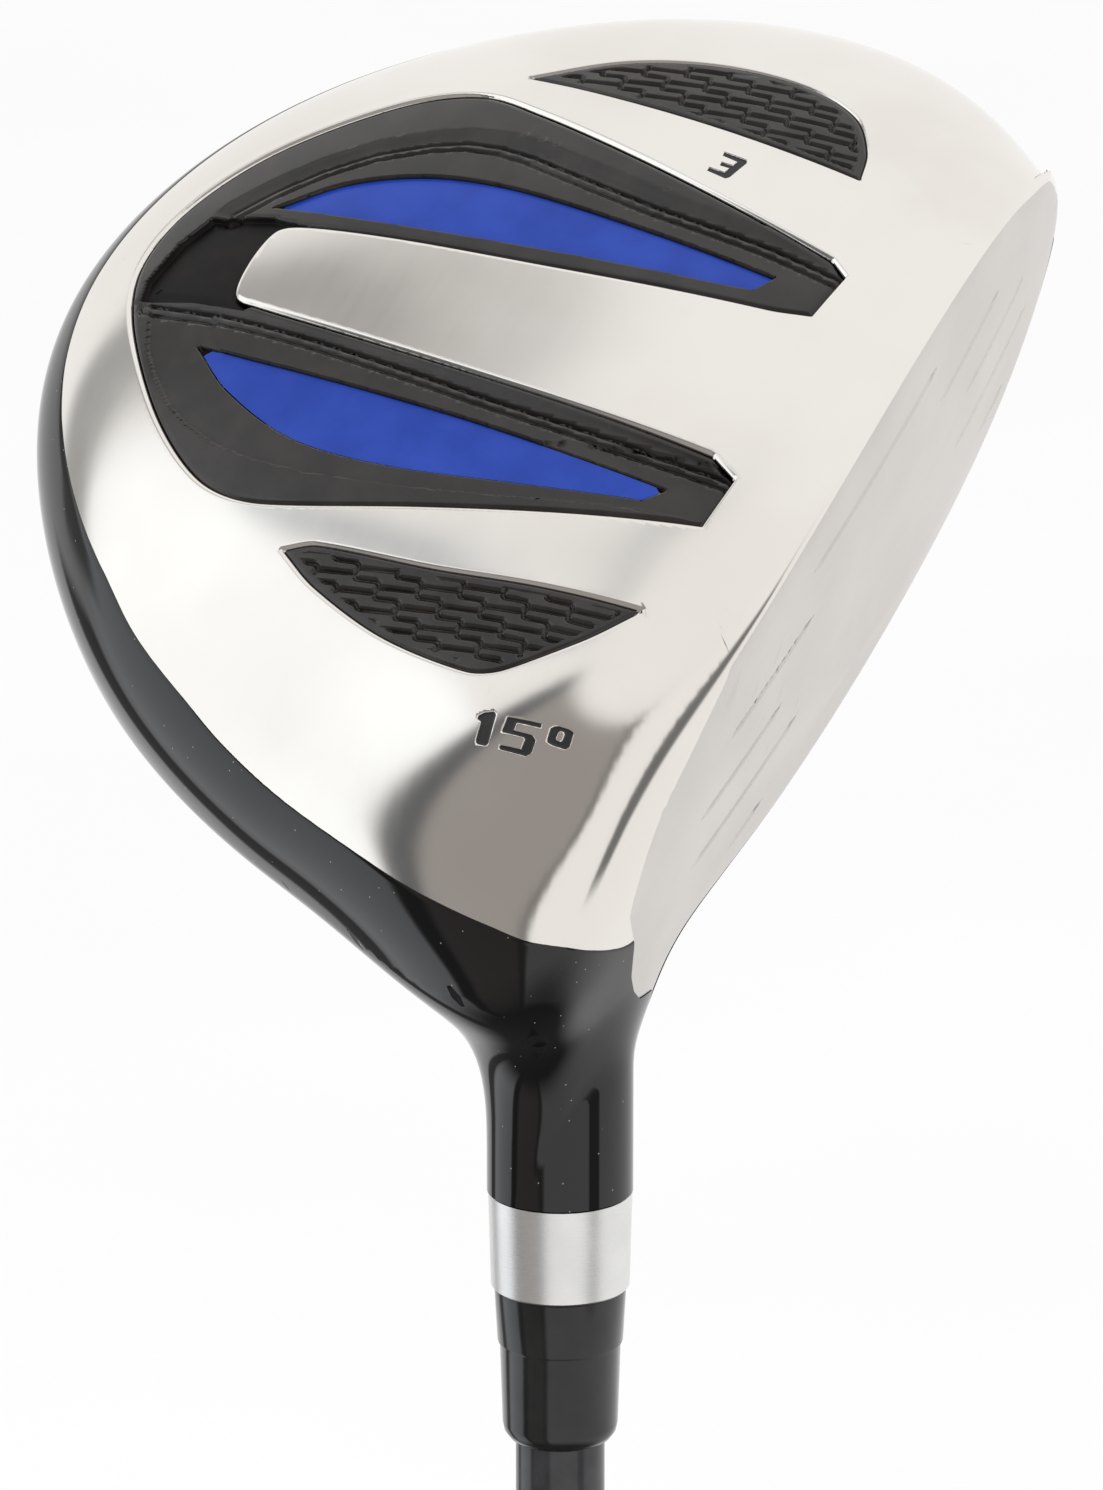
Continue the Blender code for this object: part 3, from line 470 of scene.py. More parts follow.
def head_surface(sides, neck_rings, blend_rings, body_rings):
    """Points and triangles all over the head, from the hosel's end to the toe's back."""
    ups = np.linspace(HOSEL_TOP, 43.0, neck_rings)
    neck_cone = cones(UP_SHAFT, np.full(1, math.pi / 2), sides)
    starts = (ups[:, None] * UP_SHAFT)[:, None]
    neck = cast(whole_value, starts, np.repeat(neck_cone, neck_rings, 0))
    middle = np.array((36.0, -17.5, 20.0))
    axis = 33.0 * UP_SHAFT - middle
    axis /= np.linalg.norm(axis)
    half_angles = np.radians(np.linspace(38.5, 179.999, body_rings))
    body = cast(whole_value, middle, cones(axis, half_angles, sides))
    # From a point inside the heel, rays swing from the neck's last ring to the body's first.
    root = HEEL_INSIDE * UP_SHAFT
    first, last = (
        (ring - root) / np.linalg.norm(ring - root, axis=-1, keepdims=True)
        for ring in (neck[-1], body[0])
    )
    swing = np.arccos(np.clip((first * last).sum(-1, keepdims=True), -1, 1))
    share = (np.arange(1, blend_rings) / blend_rings)[:, None, None]
    rays = np.sin((1 - share) * swing) * first + np.sin(share * swing) * last
    rays /= np.linalg.norm(rays, axis=-1, keepdims=True)
    rings = np.concatenate([neck, cast(whole_value, root, rays), body])
    return rings.reshape(-1, 3), grid_faces(len(rings), sides, True)


def refine(points, faces, near):
    """Each triangle with a point that is near becomes four."""
    wanted = near[faces].any(axis=1)
    kept = faces[~wanted]
    a, b, c = faces[wanted].T
    edges = np.concatenate([np.stack(pair, -1) for pair in ((a, b), (b, c), (c, a))])
    keys, index = np.unique(np.sort(edges, -1), axis=0, return_inverse=True)
    ab, bc, ca = index.reshape(3, -1) + len(points)
    parts = ((a, ab, ca), (ab, b, bc), (ca, bc, c), (ab, bc, ca))
    fresh = np.concatenate([np.stack(part, -1) for part in parts])
    return np.concatenate([points, points[keys].mean(axis=1)]), np.concatenate([kept, fresh])


def cut_along(points, faces, field):
    """Cuts the triangles along a field's zero line. Returns them with the side of each."""
    values = field(points)
    values = np.where(np.abs(values) < 1e-7, 1e-7, values)
    high = values[faces] > 0
    count = high.sum(1)
    whole = (count == 0) | (count == 3)
    if whole.all():
        return points, faces, high[:, 0]
    crossed, above = faces[~whole], high[~whole]
    single = above.sum(1) == 1
    lone = np.where(single[:, None], above, ~above).argmax(1)
    row = np.arange(len(crossed))
    a, b, c = (crossed[row, (lone + turn) % 3] for turn in range(3))
    edges = np.sort(np.concatenate([np.stack((a, b), -1), np.stack((a, c), -1)]), -1)
    keys, index = np.unique(edges, axis=0, return_inverse=True)
    first, second = values[keys[:, 0]], values[keys[:, 1]]
    share = (first / (first - second))[:, None]
    fresh = points[keys[:, 0]] * (1 - share) + points[keys[:, 1]] * share
    ab, ac = index.reshape(2, -1) + len(points)
    parts = ((a, ab, ac), (ab, b, c), (ab, c, ac))
    faces = np.concatenate([faces[whole]] + [np.stack(part, -1) for part in parts])
    side = np.concatenate([high[whole][:, 0], single, ~single, ~single])
    return np.concatenate([points, fresh]), faces, side


def keep(points, faces, wanted):
    """Only the wanted triangles, with the points that they use."""
    used, index = np.unique(faces[wanted], return_inverse=True)
    return points[used], index.reshape(-1, 3)


def sunk(points, depth, value):
    """Points of the form sunk by a depth, and their normals."""
    lean = slope(points, value)
    out = lean / np.linalg.norm(lean, axis=-1, keepdims=True)
    first = np.cross(out, (0.0, 1.0, 0.03))
    first /= np.linalg.norm(first, axis=-1, keepdims=True)
    second = np.cross(out, first)
    reach = 0.015
    normals = out.copy()
    for way in (first, second):
        fall = (depth(points + reach * way) - depth(points - reach * way)) / (2 * reach)
        normals += fall[:, None] * way
    normals /= np.linalg.norm(normals, axis=-1, keepdims=True)
    return points - depth(points)[:, None] * out, normals


def add_piece(name, points, faces, normals, material, slot, *nodes):
    """A piece from points in the head's frame, standing for nodes of the part."""
    corner = points[faces]
    facing = np.cross(corner[:, 1] - corner[:, 0], corner[:, 2] - corner[:, 0])
    size = np.linalg.norm(facing, axis=1)
    faces, facing = faces[size > 1e-9], facing[size > 1e-9]
    turned = (facing * normals[faces].mean(axis=1)).sum(axis=1) < 0
    faces = np.where(turned[:, None], faces[:, ::-1], faces)
    mesh = bpy.data.meshes.new(name)
    mesh.vertices.add(len(points))
    place = (points @ TO_CLUB.T + (0.0, 0.0, CLUB_LENGTH)) * 0.001
    mesh.vertices.foreach_set("co", place.astype(np.float32).ravel())
    mesh.loops.add(faces.size)
    mesh.loops.foreach_set("vertex_index", faces.astype(np.int32).ravel())
    mesh.polygons.add(len(faces))
    mesh.polygons.foreach_set("loop_start", np.arange(0, faces.size, 3, dtype=np.int32))
    mesh.update(calc_edges=True)
    mesh.shade_smooth()
    mesh.normals_split_custom_set_from_vertices((normals @ TO_CLUB.T).tolist())
    mesh.materials.append(material)
    piece = bpy.data.objects.new(name, mesh)
    scene.collection.objects.link(piece)
    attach(piece, "root")
    if nodes:
        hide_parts(*nodes)


head, head_faces = head_surface(380, 16, 36, 190)
for _ in range(2):
    crease = np.abs(neck_value(head) - cut_value(head)) < 0.6
    crease &= (np.abs(cut_value(head)) < 0.6) & (before_face(head) > -1.5)
    head, head_faces = refine(head, head_faces, crease)
head = settle(head, whole_value, 3)
for level in (-0.1, 0.1):
    head, head_faces, _ = cut_along(
        head, head_faces, lambda p, level=level: before_face(p) + RIM_THICKNESS + level
    )
for level in (-1.0, -0.6, -0.3, 0.3, 0.6, 1.0):
    head, head_faces, _ = cut_along(
        head, head_faces, lambda p, level=level: before_face(p) - head_value(p) + level
    )
head = settle(head, whole_value, 3)
head, head_faces, on_face = cut_along(head, head_faces, face_side)
head = settle(head, whole_value, 2)
face, face_faces = keep(head, head_faces, on_face)
shell, shell_faces = keep(head, head_faces, ~on_face)

# ---- Crown, skirt and neck: cast steel under gloss black paint with a few metallic flecks.
# The paint ends in a rounded edge on the skirt, and the polished sole runs under it.

PAINT_DEGREES = (30.0, 37.0, 90.0, 143.0, 148.7, 149.4, 150.2, 151.3, 152.7, 154.0, 155.5, 158.6)
PAINT_DEGREES += (163.0, 170.0, 179.0, 188.0, 196.0, 207.0, 218.0, 246.0, 280.0)
PAINT_DEGREES += (310.0, 334.0, 350.0, 370.0, 383.0)
PAINT_HEIGHTS = (24.0, 25.0, 27.0, 24.5, 24.0, 23.3, 21.8, 19.5, 17.4, 16.4, 15.7, 14.2)
PAINT_HEIGHTS += (12.9, 11.8, 11.2, 10.1, 9.0, 8.1, 7.2, 6.6, 6.0)
PAINT_HEIGHTS += (7.1, 8.2, 10.0, 12.0, 15.5)


def above_paint_edge(points):
    at = np.arctan2(points[:, 1] - HEAD_MIDDLE[1], points[:, 0] - HEAD_MIDDLE[0])
    angles = np.radians(PAINT_DEGREES)
    heights = np.array(PAINT_HEIGHTS)
    keys = np.append(angles, angles[0] + 2 * math.pi)
    heights = np.append(heights, heights[0])
    widths = np.diff(keys)
    rises = np.diff(heights) / widths
    before = np.roll(rises, 1)
    slopes = np.where(before * rises > 0, 2 * before * rises / (before + rises + 1e-12), 0.0)
    slopes = np.append(slopes, slopes[0])
    turned = np.mod(at - angles[0], 2 * math.pi) + angles[0]
    index = np.clip(np.searchsorted(keys, turned, side="right") - 1, 0, len(widths) - 1)
    width = widths[index]
    u = (turned - keys[index]) / width
    edge = (
        heights[index] * (2 * u**3 - 3 * u**2 + 1)
        + slopes[index] * width * (u**3 - 2 * u**2 + u)
        + heights[index + 1] * (3 * u**2 - 2 * u**3)
        + slopes[index + 1] * width * (u**3 - u**2)
    )
    return points[:, 2] - edge


def lip(distance, width, depth):
    """A quarter round that falls to its depth at an edge."""
    share = np.clip(1 - distance / width, 0, 1)
    return depth * (1 - np.sqrt(np.clip(1 - share**2, 1e-4, 1)))


crown, crown_faces, painted = cut_along(shell, shell_faces, above_paint_edge)
crown, crown_faces = keep(crown, crown_faces, painted)
for level in (0.1, 0.25, 0.5):
    crown, crown_faces, _ = cut_along(
        crown, crown_faces, lambda p, level=level: above_paint_edge(p) - level
    )


def paint_depth(points):
    return lip(above_paint_edge(points), 0.5, 0.1) - 0.1


crown, crown_normals = sunk(crown, paint_depth, whole_value)
made, place = new_material("black_paint")
picked = place.cells(800.0, "Color").along((0.333, 0.333, 0.333)) > 0.5
fleck = picked * (place.cells(800.0) < 0.06)
paint = finish(
    made,
    {"Specular IOR Level": 0.5},
    Base_Color=fleck.blend((0.0045, 0.004, 0.004), (0.30, 0.26, 0.22)),
    Roughness=0.035 + place.noise(120.0, 3.0) * 0.03,
    Normal=place.bump(place.noise(500.0, 2.0) * 0.0000012),
)
add_piece("painted_crown", crown, crown_faces, crown_normals, paint, "black_paint", "crown_shell")

# ---- Sole: polished cast steel, with pockets for the badge and the two pads.
# The pockets' rims are rounded by polishing. The numbers are engraved and filled with black.


def outline_points(keys, pieces=10):
    """Points along a closed outline of (x, y, corner), smooth but at its corners."""
    places = np.array([key[:2] for key in keys])
    corners = [key[2] for key in keys]
    count = len(keys)
    points = []
    for at in range(count):
        here, there = places[at], places[(at + 1) % count]
        pull_here = there - here if corners[at] else (there - places[at - 1]) / 2
        after = places[(at + 2) % count]
        pull_there = there - here if corners[(at + 1) % count] else (after - here) / 2
        chord = np.linalg.norm(there - here)
        for pull in (pull_here, pull_there):
            pull *= min(1.0, chord / np.linalg.norm(pull))
        for piece in range(pieces):
            u = piece / pieces
            points.append(
                here * (2 * u**3 - 3 * u**2 + 1)
                + pull_here * (u**3 - 2 * u**2 + u)
                + there * (3 * u**2 - 2 * u**3)
                + pull_there * (u**3 - u**2)
            )
    return np.array(points)


def beside(points, path, limit=1.6):
    """Distances in plan from points to a path of (x, y), and on which side of it they lie.

    The left side is above zero. Points farther off than the limit get the limit and side 0.
    """
    plan = points[..., :2].reshape(-1, 2)
    path = np.asarray(path, float)
    starts, ways = path[:-1], np.diff(path, axis=0)
    squares = (ways**2).sum(-1)
    left = np.stack((-ways[:, 1], ways[:, 0]), -1) / np.sqrt(squares)[:, None]
    before, after = np.roll(left, 1, 0), np.roll(left, -1, 0)
    if not np.allclose(path[0], path[-1]):
        before[0], after[-1] = left[0], left[-1]
    best = np.full(len(plan), limit**2)
    side = np.zeros(len(plan))
    for low in range(0, len(ways), 6):
        part = slice(low, low + 6)
        corner_low = path[low : low + 7].min(0) - limit
        corner_high = path[low : low + 7].max(0) + limit
        near = np.flatnonzero(((plan > corner_low) & (plan < corner_high)).all(1))
        gap = plan[near, None] - starts[part]
        share = np.clip((gap * ways[part]).sum(-1) / squares[part], 0, 1)
        off = gap - share[..., None] * ways[part]
        square = (off**2).sum(-1)
        pick = square.argmin(1)
        row = np.arange(len(near))
        square, share, off = square[row, pick], share[row, pick], off[row, pick]
        pick += low
        normal = left[pick] + np.where(share[:, None] <= 0, before[pick], 0)
        normal += np.where(share[:, None] >= 1, after[pick], 0)
        closer = square < best[near]
        best[near[closer]] = square[closer]
        side[near[closer]] = (off * normal).sum(-1)[closer]
    shape = points.shape[:-1]
    return np.sqrt(best).reshape(shape), np.sign(side).reshape(shape)


class Outline:
    """A closed outline of (x, y) on the sole, seen from above."""

    def __init__(self, points, limit=1.6):
        points = np.asarray(points, float)
        x, y = points.T
        if (x * np.roll(y, -1) - y * np.roll(x, -1)).sum() < 0:
            points = points[::-1]
        self.loop = np.concatenate([points, points[:1]])
        self.limit = limit
        self.low = self.loop.min(0) - limit
        self.high = self.loop.max(0) + limit
        self.cell = limit / 3
        counts = np.ceil((self.high - self.low) / self.cell).astype(int) + 1
        x, y = np.meshgrid(*(self.cell * np.arange(count) for count in counts), indexing="ij")
        x, y = x + self.low[0], y + self.low[1]
        self.filled = np.zeros(x.shape, bool)
        for (x1, y1), (x2, y2) in zip(self.loop, self.loop[1:]):
            if y1 != y2:
                before = x < (x2 - x1) * (y - y1) / (y2 - y1) + x1
                self.filled ^= ((y1 > y) != (y2 > y)) & before

    def inside(self, points):
        """How far points lie inside, below zero outside, up to the limit."""
        distance, side = beside(points, self.loop, self.limit)
        cells = np.round((points[..., :2] - self.low) / self.cell).astype(int)
        cells = np.clip(cells, 0, np.array(self.filled.shape) - 1)
        filled = self.filled[cells[..., 0], cells[..., 1]]
        return distance * np.where(side == 0, np.where(filled, 1, -1), side)


BADGE = Outline(
    outline_points(
        (
            (47.0, 6.5, True), (55.2, -17.0, False), (60.2, -32.0, False), (62.2, -40.0, False),
            (60.0, -48.0, False), (52.0, -59.0, False), (43.5, -65.0, False),
            (35.5, -66.3, False), (27.5, -63.0, False), (16.0, -54.0, False),
            (8.5, -45.0, False), (6.4, -37.0, False), (8.2, -20.0, False), (12.2, 8.6, True),
            (18.2, 9.3, True), (20.2, 6.2, True), (24.5, -18.5, False), (28.0, -38.5, False),
            (30.0, -49.0, False), (31.2, -52.2, False), (35.5, -53.0, False),
            (40.0, -52.2, False), (41.0, -49.5, False), (40.8, -38.0, False),
            (39.8, -18.0, False), (39.0, 3.5, False), (39.4, 7.8, True), (45.3, 8.6, True),
        )
    )
)
HEEL_PAD = Outline(
    outline_points(
        (
            (1.4, -31.8, True), (2.3, -28.4, False), (1.4, -15.0, False), (1.4, -4.0, False),
            (1.3, 7.2, True), (-3.6, 3.2, False), (-8.4, -2.6, False), (-9.2, -6.5, False),
            (-6.6, -17.0, False), (-2.2, -26.6, False),
        )
    )
)
TOE_PAD = Outline(
    outline_points(
        (
            (65.6, -36.2, True), (69.8, -27.0, False), (71.2, -17.0, False),
            (70.2, -7.0, False), (67.4, -0.8, False), (62.8, 2.6, False), (58.6, 3.9, True),
            (60.2, -5.0, False), (62.6, -18.0, False), (64.6, -29.5, False),
        )
    )
)
ONE = Outline(
    (
        (-13.67, -3.17), (-13.25, -2.67), (-13.0, -1.75), (-13.17, -1.42), (-16.08, -1.08),
        (-16.37, -1.25), (-16.33, -2.25), (-16.08, -2.42), (-14.17, -2.58), (-13.97, -3.08),
    ),
    0.6,
)
FIVE = Outline(
    (
        (-13.25, -0.17), (-13.13, 3.33), (-13.53, 3.37), (-13.58, 0.92), (-14.43, 0.92),
        (-14.43, 2.92), (-14.87, 3.37), (-16.03, 3.37), (-16.47, 3.0), (-16.42, 0.2),
        (-16.03, 0.13), (-16.0, 2.33), (-15.0, 2.37), (-14.8, 2.17), (-14.8, -0.17),
    ),
    0.6,
)
DEGREE = Outline(
    (
        (-13.0, 4.6), (-12.9, 4.9), (-12.9, 6.1), (-13.1, 6.5), (-14.5, 6.6), (-14.8, 6.3),
        (-14.8, 4.9), (-14.6, 4.4), (-13.3, 4.3),
    ),
    0.6,
)
DEGREE_HOLE = Outline(
    (
        (-13.25, 5.25), (-13.25, 5.65), (-13.5, 5.8), (-14.1, 5.8), (-14.3, 5.65),
        (-14.3, 5.25), (-14.1, 5.1), (-13.5, 5.1),
    ),
    0.6,
)
THREE = Outline(
    (
        (58.17, -10.3), (57.63, -7.67), (57.25, -7.45), (54.92, -8.17), (54.67, -8.5),
        (55.3, -10.8), (55.73, -10.8), (55.4, -8.97), (56.13, -8.75), (56.3, -9.87),
        (56.73, -9.93), (56.53, -8.58), (57.2, -8.42), (57.7, -10.25),
    ),
    0.6,
)
POCKETS = ((BADGE, 0.55, 0.45), (HEEL_PAD, 0.5, 0.4), (TOE_PAD, 0.45, 0.35))
RIDGES = (
    (
        (66.0, -1.5), (63.6, 2.0), (62.5, 5.1), (61.0, 8.2), (58.6, 11.2), (55.7, 13.9),
        (52.0, 15.8), (45.6, 17.5), (35.3, 18.5), (25.6, 19.0), (12.9, 18.3), (1.6, 17.0),
    ),
    (
        (38.5, -68.5), (46.0, -65.6), (52.5, -60.8), (58.7, -53.3), (62.6, -46.7),
        (63.5, -42.7), (62.9, -38.7), (60.3, -31.0),
    ),
    ((55.6, -16.0), (52.6, -3.0), (48.9, 6.5), (47.6, 9.0), (45.0, 10.2), (41.0, 9.8)),
)
RIDGE_DEPTHS = (0.16, 0.05, 0.05)
RIDGE_WIDTH = 1.2
RIDGE_FADING = 10.0
UNDERSIDE_TOP = 16.0
NUMBERS_LOW = ((-17.4, -4.2), (53.6, -11.8))
NUMBERS_HIGH = ((-12.0, 7.6), (59.2, -6.4))


def number_field(points):
    degree = np.minimum(DEGREE.inside(points), -DEGREE_HOLE.inside(points))
    found = np.maximum(ONE.inside(points), FIVE.inside(points))
    return np.maximum(np.maximum(found, degree), THREE.inside(points))


def sole_depth(points):
    depth = np.zeros(points.shape[:-1])
    for outline, width, fall in POCKETS:
        depth += lip(-outline.inside(points), width, fall)
    for ridge, fall in zip(RIDGES, RIDGE_DEPTHS):
        ends = points[..., None, :2] - np.array(ridge)[[0, -1]]
        fading = step(np.linalg.norm(ends, axis=-1).min(-1), 0.0, RIDGE_FADING)
        fading *= step(-before_face(points), 0.8, 2.5)
        depth += fall * fading * (1 - step(beside(points, ridge)[0], 0.0, RIDGE_WIDTH))
    return depth + lip(-number_field(points), 0.12, 0.12)


sole, sole_faces, painted = cut_along(shell, shell_faces, lambda p: above_paint_edge(p) - 0.6)
sole, sole_faces = keep(sole, sole_faces, ~painted)
low_down = sole[:, 2] < UNDERSIDE_TOP
near = np.zeros(len(sole), bool)
for outline, _, _ in POCKETS:
    near |= (np.abs(outline.inside(sole)) < 1.2) & low_down
for ridge in RIDGES:
    near |= (beside(sole, ridge)[0] < 1.5) & low_down


def near_numbers(points):
    found = np.zeros(len(points), bool)
    for low, high in zip(NUMBERS_LOW, NUMBERS_HIGH):
        found |= ((points[:, :2] > low) & (points[:, :2] < high)).all(1)
    return found & (points[:, 2] < UNDERSIDE_TOP)


sole, sole_faces = refine(sole, sole_faces, near | near_numbers(sole))
for _ in range(2):
    sole, sole_faces = refine(sole, sole_faces, near_numbers(sole))
sole = settle(sole, whole_value, 2)


def underside(field):
    return lambda points: np.where(points[:, 2] < UNDERSIDE_TOP, field(points), -1.0)


for outline, _, _ in POCKETS:
    sole, sole_faces, within = cut_along(sole, sole_faces, underside(outline.inside))
    sole, sole_faces = keep(sole, sole_faces, ~within)
    for offset in (0.06, 0.16, 0.3, 0.5):
        sole, sole_faces, _ = cut_along(
            sole, sole_faces, underside(lambda p, offset=offset: outline.inside(p) + offset)
        )
sole, sole_faces, within = cut_along(sole, sole_faces, underside(number_field))
numbers, number_faces = keep(sole, sole_faces, within)
sole, sole_faces = keep(sole, sole_faces, ~within)
sole, sole_faces, _ = cut_along(sole, sole_faces, underside(lambda p: number_field(p) + 0.1))
sole, sole_normals = sunk(sole, sole_depth, whole_value)

made, place = new_material("polished_steel")
cloud = place.noise(40.0, 4.0)
grain = place.stretched((60.0, 900.0, 900.0)).noise(1.0, 3.0)
steel = finish(
    made,
    Base_Color=cloud.rise(0.35, 0.65).blend((0.80, 0.765, 0.715), (0.845, 0.815, 0.77)),
    Metallic=1.0,
    Roughness=0.10 + place.noise(90.0, 3.0) * 0.07 + (grain - 0.5) * 0.03,
    Normal=place.bump(place.noise(55.0, 1.0) * 0.00008 + grain * 0.0000006),
)
add_piece("polished_sole", sole, sole_faces, sole_normals, steel, "polished_steel", "sole_shell")

made, place = new_material("number_filling")
filling = finish(
    made,
    Base_Color=place.noise(900.0, 3.0).blend((0.008, 0.008, 0.008), (0.02, 0.019, 0.018)),
    Roughness=0.3 + place.noise(700.0, 3.0) * 0.2,
    Normal=place.bump(place.noise(1500.0, 3.0) * 0.00001),
)
numbers, number_normals = sunk(
    numbers, lambda p: lip(number_field(p), 0.25, -0.08) + 0.18, whole_value
)
add_piece("engraved_numbers", numbers, number_faces, number_normals, filling, "black_paint")

# ---- Face: steel plate, satin ground from heel to toe, with score lines cut into it.
# It is welded over the head's open front, and stands a little proud of the body at the toe.

SCORES = (
    (9.0, 13.6, 42.4), (14.5, -3.2, 14.4), (14.5, 41.8, 58.0), (20.0, -9.0, 7.6),
    (20.0, 48.4, 65.0), (25.0, -11.0, 10.8), (25.0, 45.0, 66.0), (30.0, -4.0, 4.0),
    (30.0, 52.0, 60.0),
)
SCORE_DEPTH = 0.3


def score_distance(points):
    """How far from the nearest line, growing at its ends, where the cutter runs out."""
    found = np.full(points.shape[:-1], 9.0)
    for height, low, high in SCORES:
        past_end = np.maximum(low - points[..., 0], points[..., 0] - high)
        away = np.hypot(np.maximum(past_end, 0), points[..., 2] - height)
        away = away + 0.4 * step(past_end, -2.5, 0.0)
        found = np.minimum(found, away)
    return found


for _ in range(2):
    face, face_faces = refine(face, face_faces, score_distance(face) < 0.9)
for offset in (0.1, 0.2, 0.3, 0.42):
    face, face_faces, _ = cut_along(
        face, face_faces, lambda p, offset=offset: score_distance(p) - offset
    )
face = settle(face, whole_value, 2)
face, face_normals = sunk(
    face, lambda p: SCORE_DEPTH * (1 - step(score_distance(p), 0.1, 0.4)), whole_value
)
made, place = new_material("satin_steel")
brush = place.stretched((90.0, 3500.0, 3500.0)).noise(1.0, 3.0)
satin = finish(
    made,
    {"Anisotropic": 0.35},
    Base_Color=place.mottled(60.0, (0.63, 0.60, 0.57), (0.68, 0.65, 0.62)),
    Metallic=1.0,
    Roughness=0.28 + brush * 0.12,
    Normal=place.bump(brush * 0.0000035),
)
add_piece("satin_face", face, face_faces, face_normals, satin, "satin_steel", "face_plate")

# ---- Badge: a black moulding with two arms in the sole's big pocket, held by adhesive.
# A groove runs along each arm, and each arm has a sunk place for its blue inlay.

TOE_INLAY = Outline(
    outline_points(
        (
            (43.2, 2.2, True), (46.2, -12.0, False), (49.4, -29.0, False),
            (49.8, -39.0, False), (47.8, -47.6, False), (43.6, -54.2, True),
            (42.9, -42.0, False), (42.2, -25.0, False), (41.2, -3.0, False), (41.2, 0.8, True),
        )
    )
)
HEEL_INLAY = Outline(
    outline_points(
        (
            (15.4, 3.4, True), (17.0, -6.0, False), (19.8, -22.0, False),
            (23.4, -46.0, False), (24.8, -53.6, True), (19.6, -47.4, False),
            (14.6, -37.5, False), (12.8, -26.0, False), (13.0, -12.0, False), (13.8, 1.6, True),
        )
    )
)
TOE_GROOVE = (
    (44.7, 9.4), (45.1, 7.3), (46.9, 0.0), (48.2, -6.7), (49.5, -13.3), (51.3, -20.0),
    (52.8, -25.3), (54.0, -29.3), (54.8, -33.3), (55.0, -37.3), (54.2, -41.3), (52.2, -46.7),
    (49.3, -51.3), (46.0, -55.3), (42.5, -58.6),
)
HEEL_GROOVE = (
    (18.0, 9.8), (19.2, 0.0), (20.2, -6.7), (21.3, -13.3), (22.5, -20.0), (23.9, -26.7),
    (25.2, -33.3), (26.5, -40.0), (27.7, -46.7), (28.8, -53.3), (29.9, -62.1),
)
HEEL_STEP = (
    (29.9, -62.1), (24.0, -59.3), (20.7, -56.7), (17.3, -53.3), (15.0, -50.0),
    (12.7, -45.3), (11.3, -40.0), (10.4, -33.3), (10.2, -23.3), (10.8, -13.3), (12.0, -2.0),
    (12.7, 9.5),
)
WEB = Outline(
    (
        (41.9, -61.0), (42.1, -53.5), (41.2, -49.0), (38.0, -47.0), (32.0, -47.0),
        (29.6, -50.5), (30.4, -57.0), (30.6, -63.6), (33.3, -64.3), (38.5, -63.0),
    )
)
BADGE_EDGE = (0.7, 0.5)
INLAY_POCKET = 0.85
GROOVE_BAND = 2.4
BAND_DEPTHS = (0.38, 0.12)
GROOVE_WIDTH, GROOVE_DEPTH = 0.42, 0.55
SECOND_AWAY, SECOND_WIDTH, SECOND_DEPTH = 1.1, 0.26, 0.35
STEP_REACH, STEP_DEPTH = 7.0, 0.32
HEEL_ARM_END = (28.0, 31.0)
WEB_DEPTH = 0.75


def badge_depth(points):
    depth = lip(BADGE.inside(points), *BADGE_EDGE)
    for outline in (TOE_INLAY, HEEL_INLAY):
        depth += INLAY_POCKET * step(outline.inside(points), -0.16, 0.0)
    for path in (TOE_GROOVE, HEEL_GROOVE):
        distance, side = beside(points, path, GROOVE_BAND)
        outward = step(distance, 0.4, GROOVE_BAND)
        depth += np.where(side > 0, BAND_DEPTHS[0] * (1 - outward), BAND_DEPTHS[1])
        depth += GROOVE_DEPTH * np.clip(1 - distance / GROOVE_WIDTH, 0, 1)
        second = np.clip(1 - np.abs(distance - SECOND_AWAY) / SECOND_WIDTH, 0, 1)
        depth += np.where(side < 0, SECOND_DEPTH * second, 0)
    distance, side = beside(points, HEEL_STEP, STEP_REACH)
    heel_arm = 1 - step(points[..., 0], *HEEL_ARM_END)
    depth += STEP_DEPTH * heel_arm * np.where(side < 0, step(distance, 0.0, 0.3), 0)
    return depth + WEB_DEPTH * step(WEB.inside(points), -0.15, 0.12)


def sheet(outline, spacing, fields):
    """A sheet over the sole, cut to an outline and then along other lines."""
    xs = np.arange(outline.low[0], outline.high[0], spacing)
    ys = np.arange(outline.low[1], outline.high[1], spacing)
    x, y = np.meshgrid(xs, ys, indexing="ij")
    points = np.stack((x, y, np.zeros_like(x)), -1).reshape(-1, 3)
    faces = grid_faces(len(xs), len(ys), False)
    points, faces, within = cut_along(points, faces, outline.inside)
    points, faces = keep(points, faces, within)
    for field, offsets in fields:
        for offset in offsets:
            points, faces, _ = cut_along(points, faces, lambda p: field(p) - offset)
    low = np.full(len(points), -3.0)
    high = np.full(len(points), 16.0)
    for _ in range(22):
        middle = (low + high) / 2
        within = head_value(np.stack((points[:, 0], points[:, 1], middle), -1)) < 0
        high = np.where(within, middle, high)
        low = np.where(within, low, middle)
    return np.stack((points[:, 0], points[:, 1], high), -1), faces


